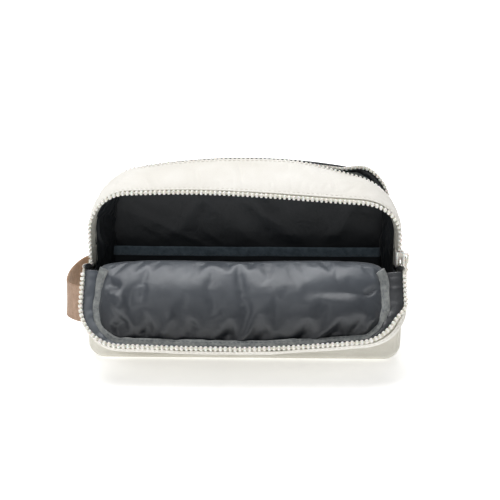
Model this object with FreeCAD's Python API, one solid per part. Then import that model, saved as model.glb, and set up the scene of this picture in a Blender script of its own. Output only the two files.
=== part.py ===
# Zip-around toiletry and makeup bag with two compartments, each closed by its own chunky moulded zipper.
# Frame: +X to the right, +Y to the back, +Z up; origin at the centre of the base's underside. Millimetres.
# The two flaps are laid out closed, then turned about their fold lines into the stored pose:
# front flap folded down, back flap a little open.
import FreeCAD, Part
import math, os

V = FreeCAD.Vector
os.makedirs("parts", exist_ok=True)

# ---------------------------------------------------------------- driving dimensions
W = 120.0            # half width of the bag
Z_FOLD = 71.0        # height of the fold lines, where both zippers end
Y_MOUTH = 30.0       # zipper centre lines stand at y = -30 and +30
Y_PANEL = 44.2       # inner face of the front and back outer panels
SHELL = 1.0          # outer cloth with its coating
FRONT = dict(w=W, R=32.0, phi=2.0, zt=131.0)     # outline of the front mouth
REAR = dict(w=W, R=38.0, phi=10.0, zt=146.0)     # outline of the back mouth
R_BASE = 12.0        # radius of the lower corners
TAPE_IN, TAPE_OUT = 1.05, 1.75                   # zipper tape, depth under the outer face
BAND_EDGE = 22.0     # the middle band is cut at y = -22 and +22
FLAP_EDGE = 38.0     # the flap's side strip is cut at |y| = 38
TAPE_GAP = 2.4       # from the zipper's centre line to each tape's edge
PITCH = 3.5          # pitch of the moulded teeth
TOOTH_T = 2.8        # tooth thickness
TOOTH_LEN = 4.2      # tooth length across the tape
HEAD_GAP = 0.75      # from the zipper's centre line to the tooth tips
DIV_Y = 14.0         # front face of the divider
POCKET_Y = 7.0       # front face of the slip pocket
POCKET_TOP = 76.0
STRAP_W, STRAP_T = 28.0, 1.6                     # side handle's webbing
STRAP_Z = 31.0
OPEN_FRONT = 145.0   # how far the front flap is folded down from closed
OPEN_REAR = 11.0     # how far the back flap leans open
FOLD_Y = 45.4        # the folds turn about the outer faces' line
SLIDER_Z0, SLIDER_Z1 = 73.2, 84.2
TAB_LEN = 33.0       # length of the puller's leather tab

NODES = {}


def put(name, shape):
    solids = shape.Solids if hasattr(shape, "Solids") else shape
    NODES[name] = solids


# ---------------------------------------------------------------- the mouth outline
def prm(y):
    """Outline numbers at depth y: the front mouth's ahead of the middle band, the back mouth's behind it, and even between."""
    t = min(1.0, max(0.0, (y + BAND_EDGE) / (2 * BAND_EDGE)))
    return {k: FRONT[k] + (REAR[k] - FRONT[k]) * t for k in FRONT}


def spots(p, off):
    """Corner points of the outline, set inward by off: side, corner arc, crowned top, corner arc, side."""
    ph = math.radians(p["phi"])
    w, R = p["w"], p["R"]
    xc0 = w - R + R * math.sin(ph)
    rc = xc0 / math.sin(ph)
    zc0 = p["zt"] - rc * (1 - math.cos(ph))
    zs = zc0 - R * math.cos(ph)
    r = R - off
    xc, zc = w - R + r * math.sin(ph), zs + r * math.cos(ph)
    a = (math.pi / 2 + ph) / 2 + math.pi / 4 - ph / 2 + 0.0
    mid = math.radians(180) - (math.pi / 2 - ph) / 2
    xm, zm = -(w - R) + r * math.cos(mid), zs + r * math.sin(mid)
    return dict(w=w - off, zs=zs, xc=xc, zc=zc, xm=xm, zm=zm, zt=p["zt"] - off, r=r, cx=w - R, ph=ph, rc=rc - off)


def edges(p, off, y, z0, back=False):
    s = spots(p, off)
    A = [V(-s["w"], y, z0), V(-s["w"], y, s["zs"]), V(s["xm"], y, s["zm"]), V(-s["xc"], y, s["zc"]), V(0, y, s["zt"]),
         V(s["xc"], y, s["zc"]), V(-s["xm"], y, s["zm"]), V(s["w"], y, s["zs"]), V(s["w"], y, z0)]
    if back:
        A = A[::-1]
    return [Part.LineSegment(A[0], A[1]).toShape(), Part.Arc(A[1], A[2], A[3]).toShape(), Part.Arc(A[3], A[4], A[5]).toShape(),
            Part.Arc(A[5], A[6], A[7]).toShape(), Part.LineSegment(A[7], A[8]).toShape()], A[0], A[8]


def ribbon_wire(p, a, b, y, z0):
    e1, s1, t1 = edges(p, a, y, z0)
    e2, s2, t2 = edges(p, b, y, z0, back=True)
    return Part.Wire(e1 + [Part.LineSegment(t1, s2).toShape()] + e2 + [Part.LineSegment(t2, s1).toShape()])


def ribbon(y0, y1, a, b, z0):
    """A band round the sides and top, from depth a to b under the outer face, between y0 and y1."""
    if prm(y0) == prm(y1):
        return Part.Face(ribbon_wire(prm(y0), a, b, y0, z0)).extrude(V(0, y1 - y0, 0))
    return Part.makeLoft([ribbon_wire(prm(y0), a, b, y0, z0), ribbon_wire(prm(y1), a, b, y1, z0)], True, True)


def top_panel(y0, y1, off, z0):
    """A flat panel that fills the outline above z0."""
    p = prm((y0 + y1) / 2)
    e, s, t = edges(p, off, y0, z0)
    return Part.Face(Part.Wire(e + [Part.LineSegment(t, s).toShape()])).extrude(V(0, y1 - y0, 0))


def low_pts(off, ztop, rb=R_BASE):
    r = rb - off
    c = math.sqrt(0.5)
    x0 = W - rb
    return [V(-(W - off), 0, ztop), V(-(W - off), 0, rb), V(-(x0 + r * c), 0, rb - r * c), V(-x0, 0, off),
            V(x0, 0, off), V(x0 + r * c, 0, rb - r * c), V(W - off, 0, rb), V(W - off, 0, ztop)]


def low_panel(y0, y1, off, ztop):
    """A flat panel that fills the outline below ztop."""
    P = [q + V(0, y0, 0) for q in low_pts(off, ztop)]
    e = [Part.LineSegment(P[0], P[1]).toShape(), Part.Arc(P[1], P[2], P[3]).toShape(), Part.LineSegment(P[3], P[4]).toShape(),
         Part.Arc(P[4], P[5], P[6]).toShape(), Part.LineSegment(P[6], P[7]).toShape(), Part.LineSegment(P[7], P[0]).toShape()]
    return Part.Face(Part.Wire(e)).extrude(V(0, y1 - y0, 0))


def side_panel(y0, y1, a, b, ztop, right):
    """A side wall with its rounded foot."""
    P = [q + V(0, y0, 0) for q in low_pts(a, ztop)]
    Q = [q + V(0, y0, 0) for q in low_pts(b, ztop)]
    if right:
        P, Q = P[::-1], Q[::-1]
    e = [Part.LineSegment(P[0], P[1]).toShape(), Part.Arc(P[1], P[2], P[3]).toShape(), Part.LineSegment(P[3], Q[3]).toShape(),
         Part.Arc(Q[3], Q[2], Q[1]).toShape(), Part.LineSegment(Q[1], Q[0]).toShape(), Part.LineSegment(Q[0], P[0]).toShape()]
    return Part.Face(Part.Wire(e)).extrude(V(0, y1 - y0, 0))


def box(x0, x1, y0, y1, z0, z1):
    return Part.makeBox(x1 - x0, y1 - y0, z1 - z0, V(x0, y0, z0))


# ---------------------------------------------------------------- teeth along the outline
def path_len(p, off, z0):
    s = spots(p, off)
    leg = s["zs"] - z0
    arc = s["r"] * (math.pi / 2 - s["ph"])
    top = s["rc"] * 2 * s["ph"]
    return leg, arc, top


def path_at(p, off, z0, u):
    """Point, direction and outward normal (each x, z) at distance u along the outline from the left end."""
    s = spots(p, off)
    leg, arc, top = path_len(p, off, z0)
    total = 2 * leg + 2 * arc + top
    flip = u > total / 2
    if flip:
        u = total - u
    if u <= leg:
        q, n = (-s["w"], z0 + u), (-1.0, 0.0)
    elif u <= leg + arc:
        a = math.pi - (u - leg) / s["r"]
        q, n = (-s["cx"] + s["r"] * math.cos(a), s["zs"] + s["r"] * math.sin(a)), (math.cos(a), math.sin(a))
    else:
        a = math.pi / 2 + s["ph"] - (u - leg - arc) / s["rc"]
        q, n = (s["rc"] * math.cos(a), s["zt"] - s["rc"] + s["rc"] * math.sin(a)), (math.cos(a), math.sin(a))
    if flip:
        q, n = (-q[0], q[1]), (-n[0], n[1])
    d = (n[1], -n[0])
    return q, d, n, total


def tooth(q, d, n, y_tip, across):
    """One moulded tooth: a slotted root that clamps the tape's edge, a waist and a rounded head.
    across is +1 or -1, from root to tip along y."""
    prof = [(-0.9, 0.0), (-0.9, 1.1), (-0.6, 1.6), (-0.98, 2.5), (-0.98, 3.6), (-0.55, 4.2),
            (0.55, 4.2), (0.98, 3.6), (0.98, 2.5), (0.6, 1.6), (0.9, 1.1), (0.9, 0.0)]

    def prism(pts2, h):
        pts = [V(q[0] + d[0] * t - n[0] * h / 2, y_tip - across * (TOOTH_LEN - a), q[1] + d[1] * t - n[1] * h / 2) for t, a in pts2]
        return Part.Face(Part.makePolygon(pts + [pts[0]])).extrude(V(n[0] * h, 0, n[1] * h))
    body = prism(prof, TOOTH_T)
    deep = TOOTH_LEN - (TAPE_GAP - HEAD_GAP) + 0.1
    return body.cut(prism([(-2, -1), (-2, deep), (2, deep), (2, -1)], TAPE_OUT - TAPE_IN + 0.08))


def row(y, y_tip, across, z0, start, stop_before_end, phase):
    p = prm(y)
    off = (TAPE_IN + TAPE_OUT) / 2
    total = path_at(p, off, z0, 0)[3]
    out, k = [], 0
    count = int(total // PITCH)
    first = (total - count * PITCH) / 2
    for k in range(count + 1):
        u = first + (k + phase) * PITCH
        if start <= u <= total - stop_before_end:
            q, d, n, _ = path_at(p, off, z0, u)
            out.append(tooth(q, d, n, y_tip, across))
    return out


# ---------------------------------------------------------------- fixed shell
Z_UP = Z_FOLD + 0.6     # lower edge of everything above the folds
Z_LO = Z_FOLD - 0.4     # upper edge of everything below them
put("middle_gusset", ribbon(-BAND_EDGE, BAND_EDGE, 0.0, SHELL, Z_FOLD))
put("gusset_foam", ribbon(-16.5, 16.5, 1.15, 3.05, Z_FOLD))
put("gusset_lining", Part.makeCompound([ribbon(-BAND_EDGE, DIV_Y - 0.2, 3.2, 3.8, Z_FOLD), ribbon(16.5, BAND_EDGE, 3.2, 3.8, Z_FOLD)]))
for name, right in (("left_side_panel", False), ("right_side_panel", True)):
    put(name, side_panel(-44.0, 44.0, 0.0, SHELL, Z_LO, right))
for name, right in (("left_side_foam", False), ("right_side_foam", True)):
    put(name, side_panel(-40.0, 40.0, 1.15, 3.05, Z_LO, right))
for name, right in (("left_side_lining", False), ("right_side_lining", True)):
    put(name, Part.makeCompound([side_panel(-40.0, DIV_Y - 0.2, 3.2, 3.8, Z_LO, right), side_panel(16.5, 40.0, 3.2, 3.8, Z_LO, right)]))
xb = W - R_BASE
put("base_panel", box(-xb + 0.05, xb - 0.05, -44.0, 44.0, 0.0, SHELL))
put("base_board", box(-xb + 1, xb - 1, -41.0, 41.0, 1.2, 3.0))
put("base_lining", Part.makeCompound([box(-xb + 0.1, xb - 0.1, -40.0, DIV_Y - 0.2, 3.2, 3.8), box(-xb + 0.1, xb - 0.1, 16.5, 40.0, 3.2, 3.8)]))
put("front_lower_panel", low_panel(-Y_PANEL - SHELL, -Y_PANEL, 0.0, Z_LO))
put("back_lower_panel", low_panel(Y_PANEL, Y_PANEL + SHELL, 0.0, Z_LO))
put("front_lower_foam", low_panel(-44.1, -41.1, 3.9, Z_LO))
put("back_lower_foam", low_panel(41.1, 44.1, 3.9, Z_LO))
put("front_lower_lining", low_panel(-41.0, -40.4, 3.9, Z_LO))
put("back_lower_lining", low_panel(40.4, 41.0, 3.9, Z_LO))
# padded rolls behind the two folds: they keep the folds from creasing, and the open flap bends over the front one
r = 5.2
def roll(sign, zc):
    body = Part.makeCylinder(r, 220.0, V(-110, sign * 34.9, zc), V(1, 0, 0))
    return body
put("front_fold_roll", roll(-1, Z_FOLD + 5.6))
put("back_fold_roll", roll(1, Z_FOLD - 6.0))

# ---------------------------------------------------------------- divider and slip pocket
def full_outline(y, off):
    p = prm(y)
    e, s, t = edges(p, off, y, R_BASE)
    P = [q + V(0, y, 0) for q in low_pts(off, R_BASE)]
    e += [Part.Arc(P[6], P[5], P[4]).toShape(), Part.LineSegment(P[4], P[3]).toShape(), Part.Arc(P[3], P[2], P[1]).toShape()]
    return Part.Wire(e)


def wall(y0, y1, off):
    return Part.Face(full_outline(y0, off)).extrude(V(0, y1 - y0, 0))


put("divider_lining_front", wall(DIV_Y, DIV_Y + 0.5, 4.1))
put("divider_board", wall(DIV_Y + 0.6, DIV_Y + 1.6, 4.1))
put("divider_lining_back", wall(DIV_Y + 1.7, DIV_Y + 2.2, 4.1))
PX = 108.0
pocket = box(-PX, PX, POCKET_Y, DIV_Y - 0.1, 5.0, POCKET_TOP).cut(box(-PX + 0.7, PX - 0.7, POCKET_Y + 0.7, DIV_Y, 5.7, POCKET_TOP + 1))
put("slip_pocket", pocket)
bind = box(-PX + 1, PX - 1, POCKET_Y - 0.7, POCKET_Y + 1.4, POCKET_TOP - 7.0, POCKET_TOP + 0.8).cut(
    box(-PX, PX, POCKET_Y - 0.05, POCKET_Y + 0.75, POCKET_TOP - 8.0, POCKET_TOP + 0.1))
put("pocket_binding", bind)

# ---------------------------------------------------------------- zippers, fixed halves
put("front_tape_body", ribbon(-(Y_MOUTH - TAPE_GAP), -BAND_EDGE, TAPE_IN, TAPE_OUT, Z_FOLD).fuse(
    ribbon(-BAND_EDGE, -17.5, TAPE_IN, TAPE_OUT, Z_FOLD)))
put("back_tape_body", ribbon(BAND_EDGE, Y_MOUTH - TAPE_GAP, TAPE_IN, TAPE_OUT, Z_FOLD).fuse(
    ribbon(17.5, BAND_EDGE, TAPE_IN, TAPE_OUT, Z_FOLD)))


def tooth_row(name, side, fixed, first, phase):
    """A row of teeth on one zipper: side -1 is the front zipper, +1 the back one."""
    y_tip = side * (Y_MOUTH - HEAD_GAP) if fixed else side * (Y_MOUTH + HEAD_GAP)
    put(name, Part.makeCompound(row(side * Y_MOUTH, y_tip, side if fixed else -side, Z_FOLD, first, first, phase)))


tooth_row("front_teeth_body", -1, True, 5.0, 0.0)
tooth_row("back_teeth_body", 1, True, 5.0, 0.0)
xm = W - (TAPE_IN + TAPE_OUT) / 2
hs = (TAPE_OUT - TAPE_IN) / 2 + 0.04
for name, s in (("front_zip_stops", -1), ("back_zip_stops", 1)):
    y0, y1 = sorted((s * 25.0, s * 29.2))
    both = []
    for x in (-xm, xm):
        block = box(x - 1.8, x + 1.8, y0, y1, Z_LO + 0.15, Z_UP + 2.0)
        c0, c1 = sorted((s * 24.0, s * (Y_MOUTH - TAPE_GAP + 0.1)))
        both.append(block.cut(box(x - hs, x + hs, c0, c1, 60, 90)))
    put(name, Part.makeCompound(both))

# ---------------------------------------------------------------- side handle, a flat loop of webbing
def strap_run(a):
    """The handle's run seen from above, set out by a from the side panel."""
    x = -(W + 0.1) - a
    return [V(x, -43.0, STRAP_Z), V(x, -39.0, STRAP_Z), V(x - 7.0, -31.5 - 0.5 * a, STRAP_Z), V(x - 14.5, -20.5 - 0.4 * a, STRAP_Z),
            V(x - 17.0, -5.0, STRAP_Z), V(x - 16.5, 11.0, STRAP_Z), V(x - 11.5, 27.5 + 0.4 * a, STRAP_Z), V(x, 40.5, STRAP_Z), V(x, 44.0, STRAP_Z)]


def smooth(pts):
    c = Part.BSplineCurve()
    c.interpolate(pts)
    return c.toShape()


inner, outer = strap_run(0.0), strap_run(STRAP_T)
loop = Part.Wire([smooth(inner), Part.LineSegment(inner[-1], outer[-1]).toShape(), smooth(outer[::-1]),
                  Part.LineSegment(outer[0], inner[0]).toShape()])
put("side_strap", Part.Face(loop).extrude(V(0, 0, STRAP_W)).cut(box(-(W + 0.06), 0, -60, 60, 0, 100)))
tacks = []
for y in (-40.6, 42.6):
    tacks.append(box(-(W + 0.1) - STRAP_T - 0.45, -(W + 0.1) - STRAP_T - 0.05, y - 0.6, y + 0.6, STRAP_Z + 1.5, STRAP_Z + STRAP_W - 1.5))
put("strap_bar_tacks", Part.makeCompound(tacks))

# ---------------------------------------------------------------- the two flaps, laid out closed
FLAPS = {}


def flap(name, side):
    """side -1 is the front flap, +1 the back flap."""
    def R(a, b, i, o, z0=Z_UP):
        y0, y1 = sorted((side * a, side * b))
        return ribbon(y0, y1, i, o, z0)

    def T(a, b, off, z0=Z_UP):
        y0, y1 = sorted((side * a, side * b))
        return top_panel(y0, y1, off, z0)
    y_tip = side * (Y_MOUTH + HEAD_GAP)
    FLAPS[name] = {
        name + "_panel": T(Y_PANEL, Y_PANEL + SHELL, 0.0),
        name + "_foam": T(Y_PANEL - 3.1, Y_PANEL - 0.1, 4.2, Z_UP + 1.0),
        name + "_lining": T(Y_PANEL - 3.8, Y_PANEL - 3.2, 4.2, Z_UP + 0.5),
        name + "_gusset": R(FLAP_EDGE, Y_PANEL - 0.1, 0.0, SHELL),
        name + "_gusset_lining": R(FLAP_EDGE - 2.0, Y_PANEL - 3.9, 1.85, 2.45, Z_UP + 0.5),
        name + "_binding": R(FLAP_EDGE - 1.4, Y_PANEL - 3.9, 2.55, 4.0, Z_UP + 0.5),
        name + "_tape": R(Y_MOUTH + TAPE_GAP, Y_PANEL - 2.2, TAPE_IN, TAPE_OUT),
        name + "_teeth": Part.makeCompound(row(side * Y_MOUTH, y_tip, -side, Z_FOLD, 5.0, 5.0, 0.5)),
    }


flap("front_flap", -1)
flap("back_flap", 1)
for name, side, angle in (("front_flap", -1, OPEN_FRONT), ("back_flap", 1, -OPEN_REAR)):
    for node, shape in FLAPS[name].items():
        shape.rotate(V(0, side * FOLD_Y, Z_FOLD), V(1, 0, 0), angle)
        put(node, shape)

# ---------------------------------------------------------------- sliders and pullers, on the right side
def slider(name, side):
    """A moulded slider: two plates round both rows of teeth, a nose between the rows, a bridge, and a puller on it."""
    gap = TOOTH_T / 2 + 0.55
    za, zb = SLIDER_Z0, SLIDER_Z1

    def Y(a, b):
        return sorted((side * a, side * b))

    def plate(x0, x1, narrow):
        # wide where the rows part, narrower at the tail
        yc = side * (Y_MOUTH - 0.4)
        pts = [(yc - 3.6 - narrow, za), (yc + 3.6 + narrow, za), (yc + 5.6, za + 4.0), (yc + 5.6, zb - 1.2), (yc + 4.4, zb), (yc - 4.4, zb),
               (yc - 5.6, zb - 1.2), (yc - 5.6, za + 4.0)]
        P = [V(x0, y, z) for y, z in pts]
        return Part.Face(Part.makePolygon(P + [P[0]])).extrude(V(x1 - x0, 0, 0))
    body = plate(xm + gap, xm + gap + 1.3, 0.8).fuse(plate(xm - gap - 1.2, xm - gap, 0.8))
    y0, y1 = Y(Y_MOUTH - 0.35, Y_MOUTH + 0.35)
    body = body.fuse(box(xm - gap - 0.1, xm + gap + 0.1, y0, y1, zb - 4.5, zb - 0.3))
    y0, y1 = Y(Y_MOUTH - 6.0, Y_MOUTH - 5.35)
    lips = box(xm + 0.75, xm + gap + 0.1, y0, y1, za + 4.0, zb - 1.2).fuse(box(xm - gap - 0.1, xm - 0.75, y0, y1, za + 4.0, zb - 1.2))
    body = body.fuse(lips).removeSplitter()
    xo = xm + gap + 1.3
    put(name + "_slider", body)
    zc = (za + zb) / 2 + 0.6
    y0, y1 = Y(Y_MOUTH - 1.7, Y_MOUTH + 1.3)
    arch = box(xo + 0.05, xo + 3.7, y0, y1, zc - 4.2, zc + 3.6).cut(box(xo, xo + 2.7, y0 - 1, y1 + 1, zc - 3.2, zc + 2.6))
    arch = arch.fuse(box(xo + 0.05, xo + 0.5, y0, y1, zc - 4.2, zc - 3.2))
    top = [e for e in arch.Edges if abs(e.BoundBox.XMin - (xo + 3.7)) < 0.01 and abs(e.BoundBox.ZLength) < 0.01]
    arch = arch.makeFillet(0.9, top)
    put(name + "_slider_bridge", arch)
    xp, yp = xo + 1.4, side * (Y_MOUTH - 0.2)
    half, drop, wr = 4.2, 8.6, 0.7
    ring = None
    bars = [(V(xp, yp - half, zc), V(0, 1, 0), 2 * half), (V(xp, yp - half, zc - drop), V(0, 1, 0), 2 * half),
            (V(xp, yp - half, zc - drop), V(0, 0, 1), drop), (V(xp, yp + half, zc - drop), V(0, 0, 1), drop)]
    for p0, dd, ln in bars:
        c = Part.makeCylinder(wr, ln, p0, dd)
        ring = c if ring is None else ring.fuse(c)
    for yy in (yp - half, yp + half):
        for zz in (zc, zc - drop):
            ring = ring.fuse(Part.makeSphere(wr, V(xp, yy, zz)))
    put(name + "_puller_ring", ring)
    ze = zc - drop
    eye = Part.makeCylinder(1.75, 6.2, V(xp, yp - 3.1, ze), V(0, 1, 0))
    tab = Part.makeBox(1.7, 6.2, TAB_LEN, V(xp - 0.85, yp - 3.1, ze - TAB_LEN))
    tab = eye.fuse(tab)
    wide = Part.makeBox(1.7, 9.6, TAB_LEN - 5.0, V(xp - 0.85, yp - 4.8, ze - TAB_LEN))
    ends = [e for e in wide.Edges if e.BoundBox.XLength > 1.5 and e.BoundBox.YLength < 0.01]
    tab = tab.fuse(wide.makeFillet(2.2, ends)).cut(Part.makeCylinder(wr + 0.12, 9.0, V(xp, yp - 4.5, ze), V(0, 1, 0)))
    put(name + "_puller_tab", tab.removeSplitter())
    return xp, yp, zc


pins = {n: slider(n, s) for n, s in (("front", -1), ("back", 1))}

# ---------------------------------------------------------------- files
total = 0
for name, solids in NODES.items():
    shape = solids[0] if len(solids) == 1 else Part.makeCompound(solids)
    if not solids or not shape.isValid():
        raise RuntimeError("bad shape: " + name)
    total += sum(s.Volume for s in solids)
    shape.exportStep("parts/" + name + ".step")
    bb = shape.BoundBox
    print("%-28s solids %3d  vol %9.1f  x %7.1f %7.1f  y %7.1f %7.1f  z %7.1f %7.1f" % (
        name, len(solids), sum(s.Volume for s in solids), bb.XMin, bb.XMax, bb.YMin, bb.YMax, bb.ZMin, bb.ZMax))
print(len(NODES), "nodes; puller pins", pins)
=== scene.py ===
# Looks of the two-compartment zip bag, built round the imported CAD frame. Lengths in the helpers are millimetres; meshes are in metres.
import bpy, bmesh, math
import numpy as np
from mathutils import Vector, Matrix


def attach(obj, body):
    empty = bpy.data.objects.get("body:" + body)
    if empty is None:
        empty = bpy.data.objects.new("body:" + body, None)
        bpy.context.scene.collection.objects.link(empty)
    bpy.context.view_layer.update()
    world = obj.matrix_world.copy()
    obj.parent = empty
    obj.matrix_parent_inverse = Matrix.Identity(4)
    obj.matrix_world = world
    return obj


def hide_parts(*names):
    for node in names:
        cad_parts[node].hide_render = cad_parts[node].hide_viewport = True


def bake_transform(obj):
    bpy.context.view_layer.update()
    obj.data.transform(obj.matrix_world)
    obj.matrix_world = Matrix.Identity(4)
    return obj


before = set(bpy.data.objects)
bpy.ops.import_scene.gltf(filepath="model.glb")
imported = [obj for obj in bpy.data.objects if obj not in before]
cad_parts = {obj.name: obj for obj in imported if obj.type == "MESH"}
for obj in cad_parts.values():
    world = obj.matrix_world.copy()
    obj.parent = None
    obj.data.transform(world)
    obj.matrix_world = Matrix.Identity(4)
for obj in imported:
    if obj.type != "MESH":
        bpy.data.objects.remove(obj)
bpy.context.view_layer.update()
scene = bpy.context.scene

# ------------------------------------------------------------------ numbers shared with the CAD
W, ZF, YF = 120.0, 71.0, 45.4
A_FRONT, A_BACK = math.radians(145.0), math.radians(-11.0)
PITCH = 3.5


def smooth(t):
    t = np.clip(t, 0.0, 1.0)
    return t * t * (3 - 2 * t)


# ------------------------------------------------------------------ noise, seeded and vectorised
def _hash(ix, iy, iz, seed):
    n = (ix * 374761393 + iy * 668265263 + iz * 1274126177 + seed * 974634777) & 0xFFFFFFFF
    n = ((n ^ (n >> 13)) * 1274126177) & 0xFFFFFFFF
    n = ((n ^ (n >> 16)) * 2246822519) & 0xFFFFFFFF
    return ((n ^ (n >> 15)) & 0xFFFFF) / 524288.0 - 1.0


def vnoise(P, seed=0):
    P = np.asarray(P, float)
    i = np.floor(P).astype(np.int64)
    f = P - i
    u = f * f * f * (f * (f * 6 - 15) + 10)
    out = 0.0
    for dx in (0, 1):
        for dy in (0, 1):
            for dz in (0, 1):
                w = (u[..., 0] if dx else 1 - u[..., 0]) * (u[..., 1] if dy else 1 - u[..., 1]) * (u[..., 2] if dz else 1 - u[..., 2])
                out = out + w * _hash(i[..., 0] + dx, i[..., 1] + dy, i[..., 2] + dz, seed)
    return out


def fbm(P, scale, seed=0, octaves=3, gain=0.5):
    s = np.asarray(scale, float)
    out, a = 0.0, 1.0
    for k in range(octaves):
        out = out + a * vnoise(np.asarray(P) / s * (2.0 ** k) + 17.3 * k, seed + k * 101)
        a *= gain
    return out


def ridged(P, scale, seed=0, octaves=2):
    """Narrow creases with broad smooth ground between them, 0 to 1."""
    s = np.asarray(scale, float)
    out, a = 0.0, 1.0
    for k in range(octaves):
        n = 1 - np.abs(vnoise(np.asarray(P) / s * (2.0 ** k) + 9.1 * k, seed + k * 57)) * 2.2
        out = out + a * np.clip(n, 0, 1) ** 2
        a *= 0.5
    return out / 1.5


# ------------------------------------------------------------------ outlines
def mouth(y):
    t = np.clip((np.asarray(y, float) + 22) / 44, 0, 1)
    R, ph, zt = 32 + 6 * t, np.radians(2 + 8 * t), 131 + 15 * t
    xc0 = W - R + R * np.sin(ph)
    rc = xc0 / np.sin(ph)
    zs = zt - rc * (1 - np.cos(ph)) - R * np.cos(ph)
    return R, ph, zt, rc, zs


def arch(y, off, s, z0=ZF):
    """Point and outward normal on the band's outline: s runs 0 to 1 from the left fold over the top to the right fold."""
    y, off, s = np.broadcast_arrays(np.asarray(y, float), np.asarray(off, float), np.asarray(s, float))
    R, ph, zt, rc, zs = mouth(y)
    r = R - off
    sm = np.minimum(s, 1 - s)
    a, b = 0.085, 0.235
    ang = np.clip((sm - a) / (b - a), 0, 1) * (math.pi / 2 - ph)
    q = np.clip((sm - b) / (0.5 - b), 0, 1)
    th = ph * (1 - q)
    leg, top = sm < a, sm >= b
    x = np.where(leg, W - off, np.where(top, (rc - off) * np.sin(th), W - R + r * np.cos(ang)))
    z = np.where(leg, z0 + (zs - z0) * sm / a, np.where(top, zt - rc + (rc - off) * np.cos(th), zs + r * np.sin(ang)))
    nx = np.where(leg, 1.0, np.where(top, np.sin(th), np.cos(ang)))
    nz = np.where(leg, 0.0, np.where(top, np.cos(th), np.sin(ang)))
    sg = np.where(s < 0.5, -1.0, 1.0)
    return x * sg, z, nx * sg, nz


def ztop(x, y, off):
    R, ph, zt, rc, zs = mouth(y)
    ax = np.minimum(np.abs(x), W - off)
    corner = zs + np.sqrt(np.maximum((R - off) ** 2 - np.maximum(ax - (W - R), 0) ** 2, 0))
    crown = zt - rc + np.sqrt(np.maximum((rc - off) ** 2 - ax ** 2, 0))
    return np.where(ax > (W - R) + (R - off) * np.sin(ph), corner, crown)


def zlow(x, off=0.0, rb=12.0):
    ax = np.minimum(np.abs(x), W - off)
    return np.where(ax > W - rb, rb - np.sqrt(np.maximum((rb - off) ** 2 - (ax - (W - rb)) ** 2, 0)), off)


def low(off, s, ztop_=ZF - 0.4, rb=12.0):
    """The lower outline: s runs 0 to 1 from the left fold down, under the base and up to the right fold."""
    off, s = np.broadcast_arrays(np.asarray(off, float), np.asarray(s, float))
    sm = np.minimum(s, 1 - s)
    a, b = 0.15, 0.20
    ang = np.clip((sm - a) / (b - a), 0, 1) * math.pi / 2
    q = np.clip((sm - b) / (0.5 - b), 0, 1)
    x = np.where(sm < a, W - off, np.where(sm >= b, (W - rb) * (1 - q), W - rb + (rb - off) * np.cos(ang)))
    z = np.where(sm < a, ztop_ - (ztop_ - rb) * sm / a, np.where(sm >= b, off, rb - (rb - off) * np.sin(ang)))
    nx = np.where(sm < a, 1.0, np.where(sm >= b, 0.0, np.cos(ang)))
    nz = np.where(sm < a, 0.0, np.where(sm >= b, -1.0, -np.sin(ang)))
    sg = np.where(s < 0.5, -1.0, 1.0)
    return x * sg, z, nx * sg, nz


def slump(P, kind="bag"):
    """Sag of the soft parts, laid out closed. The front mouth sinks to the right, and so does the back end of the band;
    the front flap hangs a little longer and splays at its right; the back flap droops over its left and middle."""
    P = np.array(P, float)
    x, y, z = P[..., 0].copy(), P[..., 1], P[..., 2].copy()
    up = np.clip((z - ZF) / 60, 0, 1.3)
    if kind == "bag":
        up = up ** 1.5
        P[..., 2] = z - (7.5 * smooth((x + 60) / 175) * np.clip((20 - y) / 50, 0, 1) + 6.0 * smooth((x - 30) / 75) * np.clip(y / 22, 0, 1)) * up
    elif kind < 0:
        P[..., 2] = z + (2.5 - 5.0 * smooth((x + 5) / 120)) * up
        P[..., 0] = x - 5.0 * smooth((x - 60) / 50) * smooth((z - 99) / 14) * (1 - smooth((np.abs(y) - 33) / 10))
    else:
        P[..., 2] = z - 5.5 * (1 - smooth((x - 76) / 28)) * up
    return P


def turn(P, side, part=1.0):
    """From a flap's closed place to its stored one. part may vary along the cloth, for the bend at the fold."""
    P = np.array(P, float)
    A = (A_FRONT if side < 0 else A_BACK) * part
    yc = side * YF
    dy, dz = P[..., 1] - yc, P[..., 2] - ZF
    c, s = np.cos(A), np.sin(A)
    P[..., 1] = yc + dy * c - dz * s
    P[..., 2] = ZF + dy * s + dz * c
    return P


# ------------------------------------------------------------------ mesh helpers
def make_obj(name, verts, faces, mat, uvs=None, smooth_shade=True):
    me = bpy.data.meshes.new(name)
    me.from_pydata([tuple(v) for v in (np.asarray(verts) * 0.001)], [], faces)
    me.update()
    ob = bpy.data.objects.new(name, me)
    scene.collection.objects.link(ob)
    me.materials.append(mat)
    if smooth_shade:
        me.polygons.foreach_set("use_smooth", [True] * len(me.polygons))
    if uvs is not None:
        layer = me.uv_layers.new(name="UVMap")
        idx = np.empty(len(me.loops), np.int64)
        me.loops.foreach_get("vertex_index", idx)
        layer.data.foreach_set("uv", np.asarray(uvs)[idx].astype(np.float32).ravel())
    return ob


def grid_normals(P):
    du = np.gradient(P, axis=0)
    dv = np.gradient(P, axis=1)
    n = np.cross(du, dv)
    return n / np.maximum(np.linalg.norm(n, axis=-1, keepdims=True), 1e-9)


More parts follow.
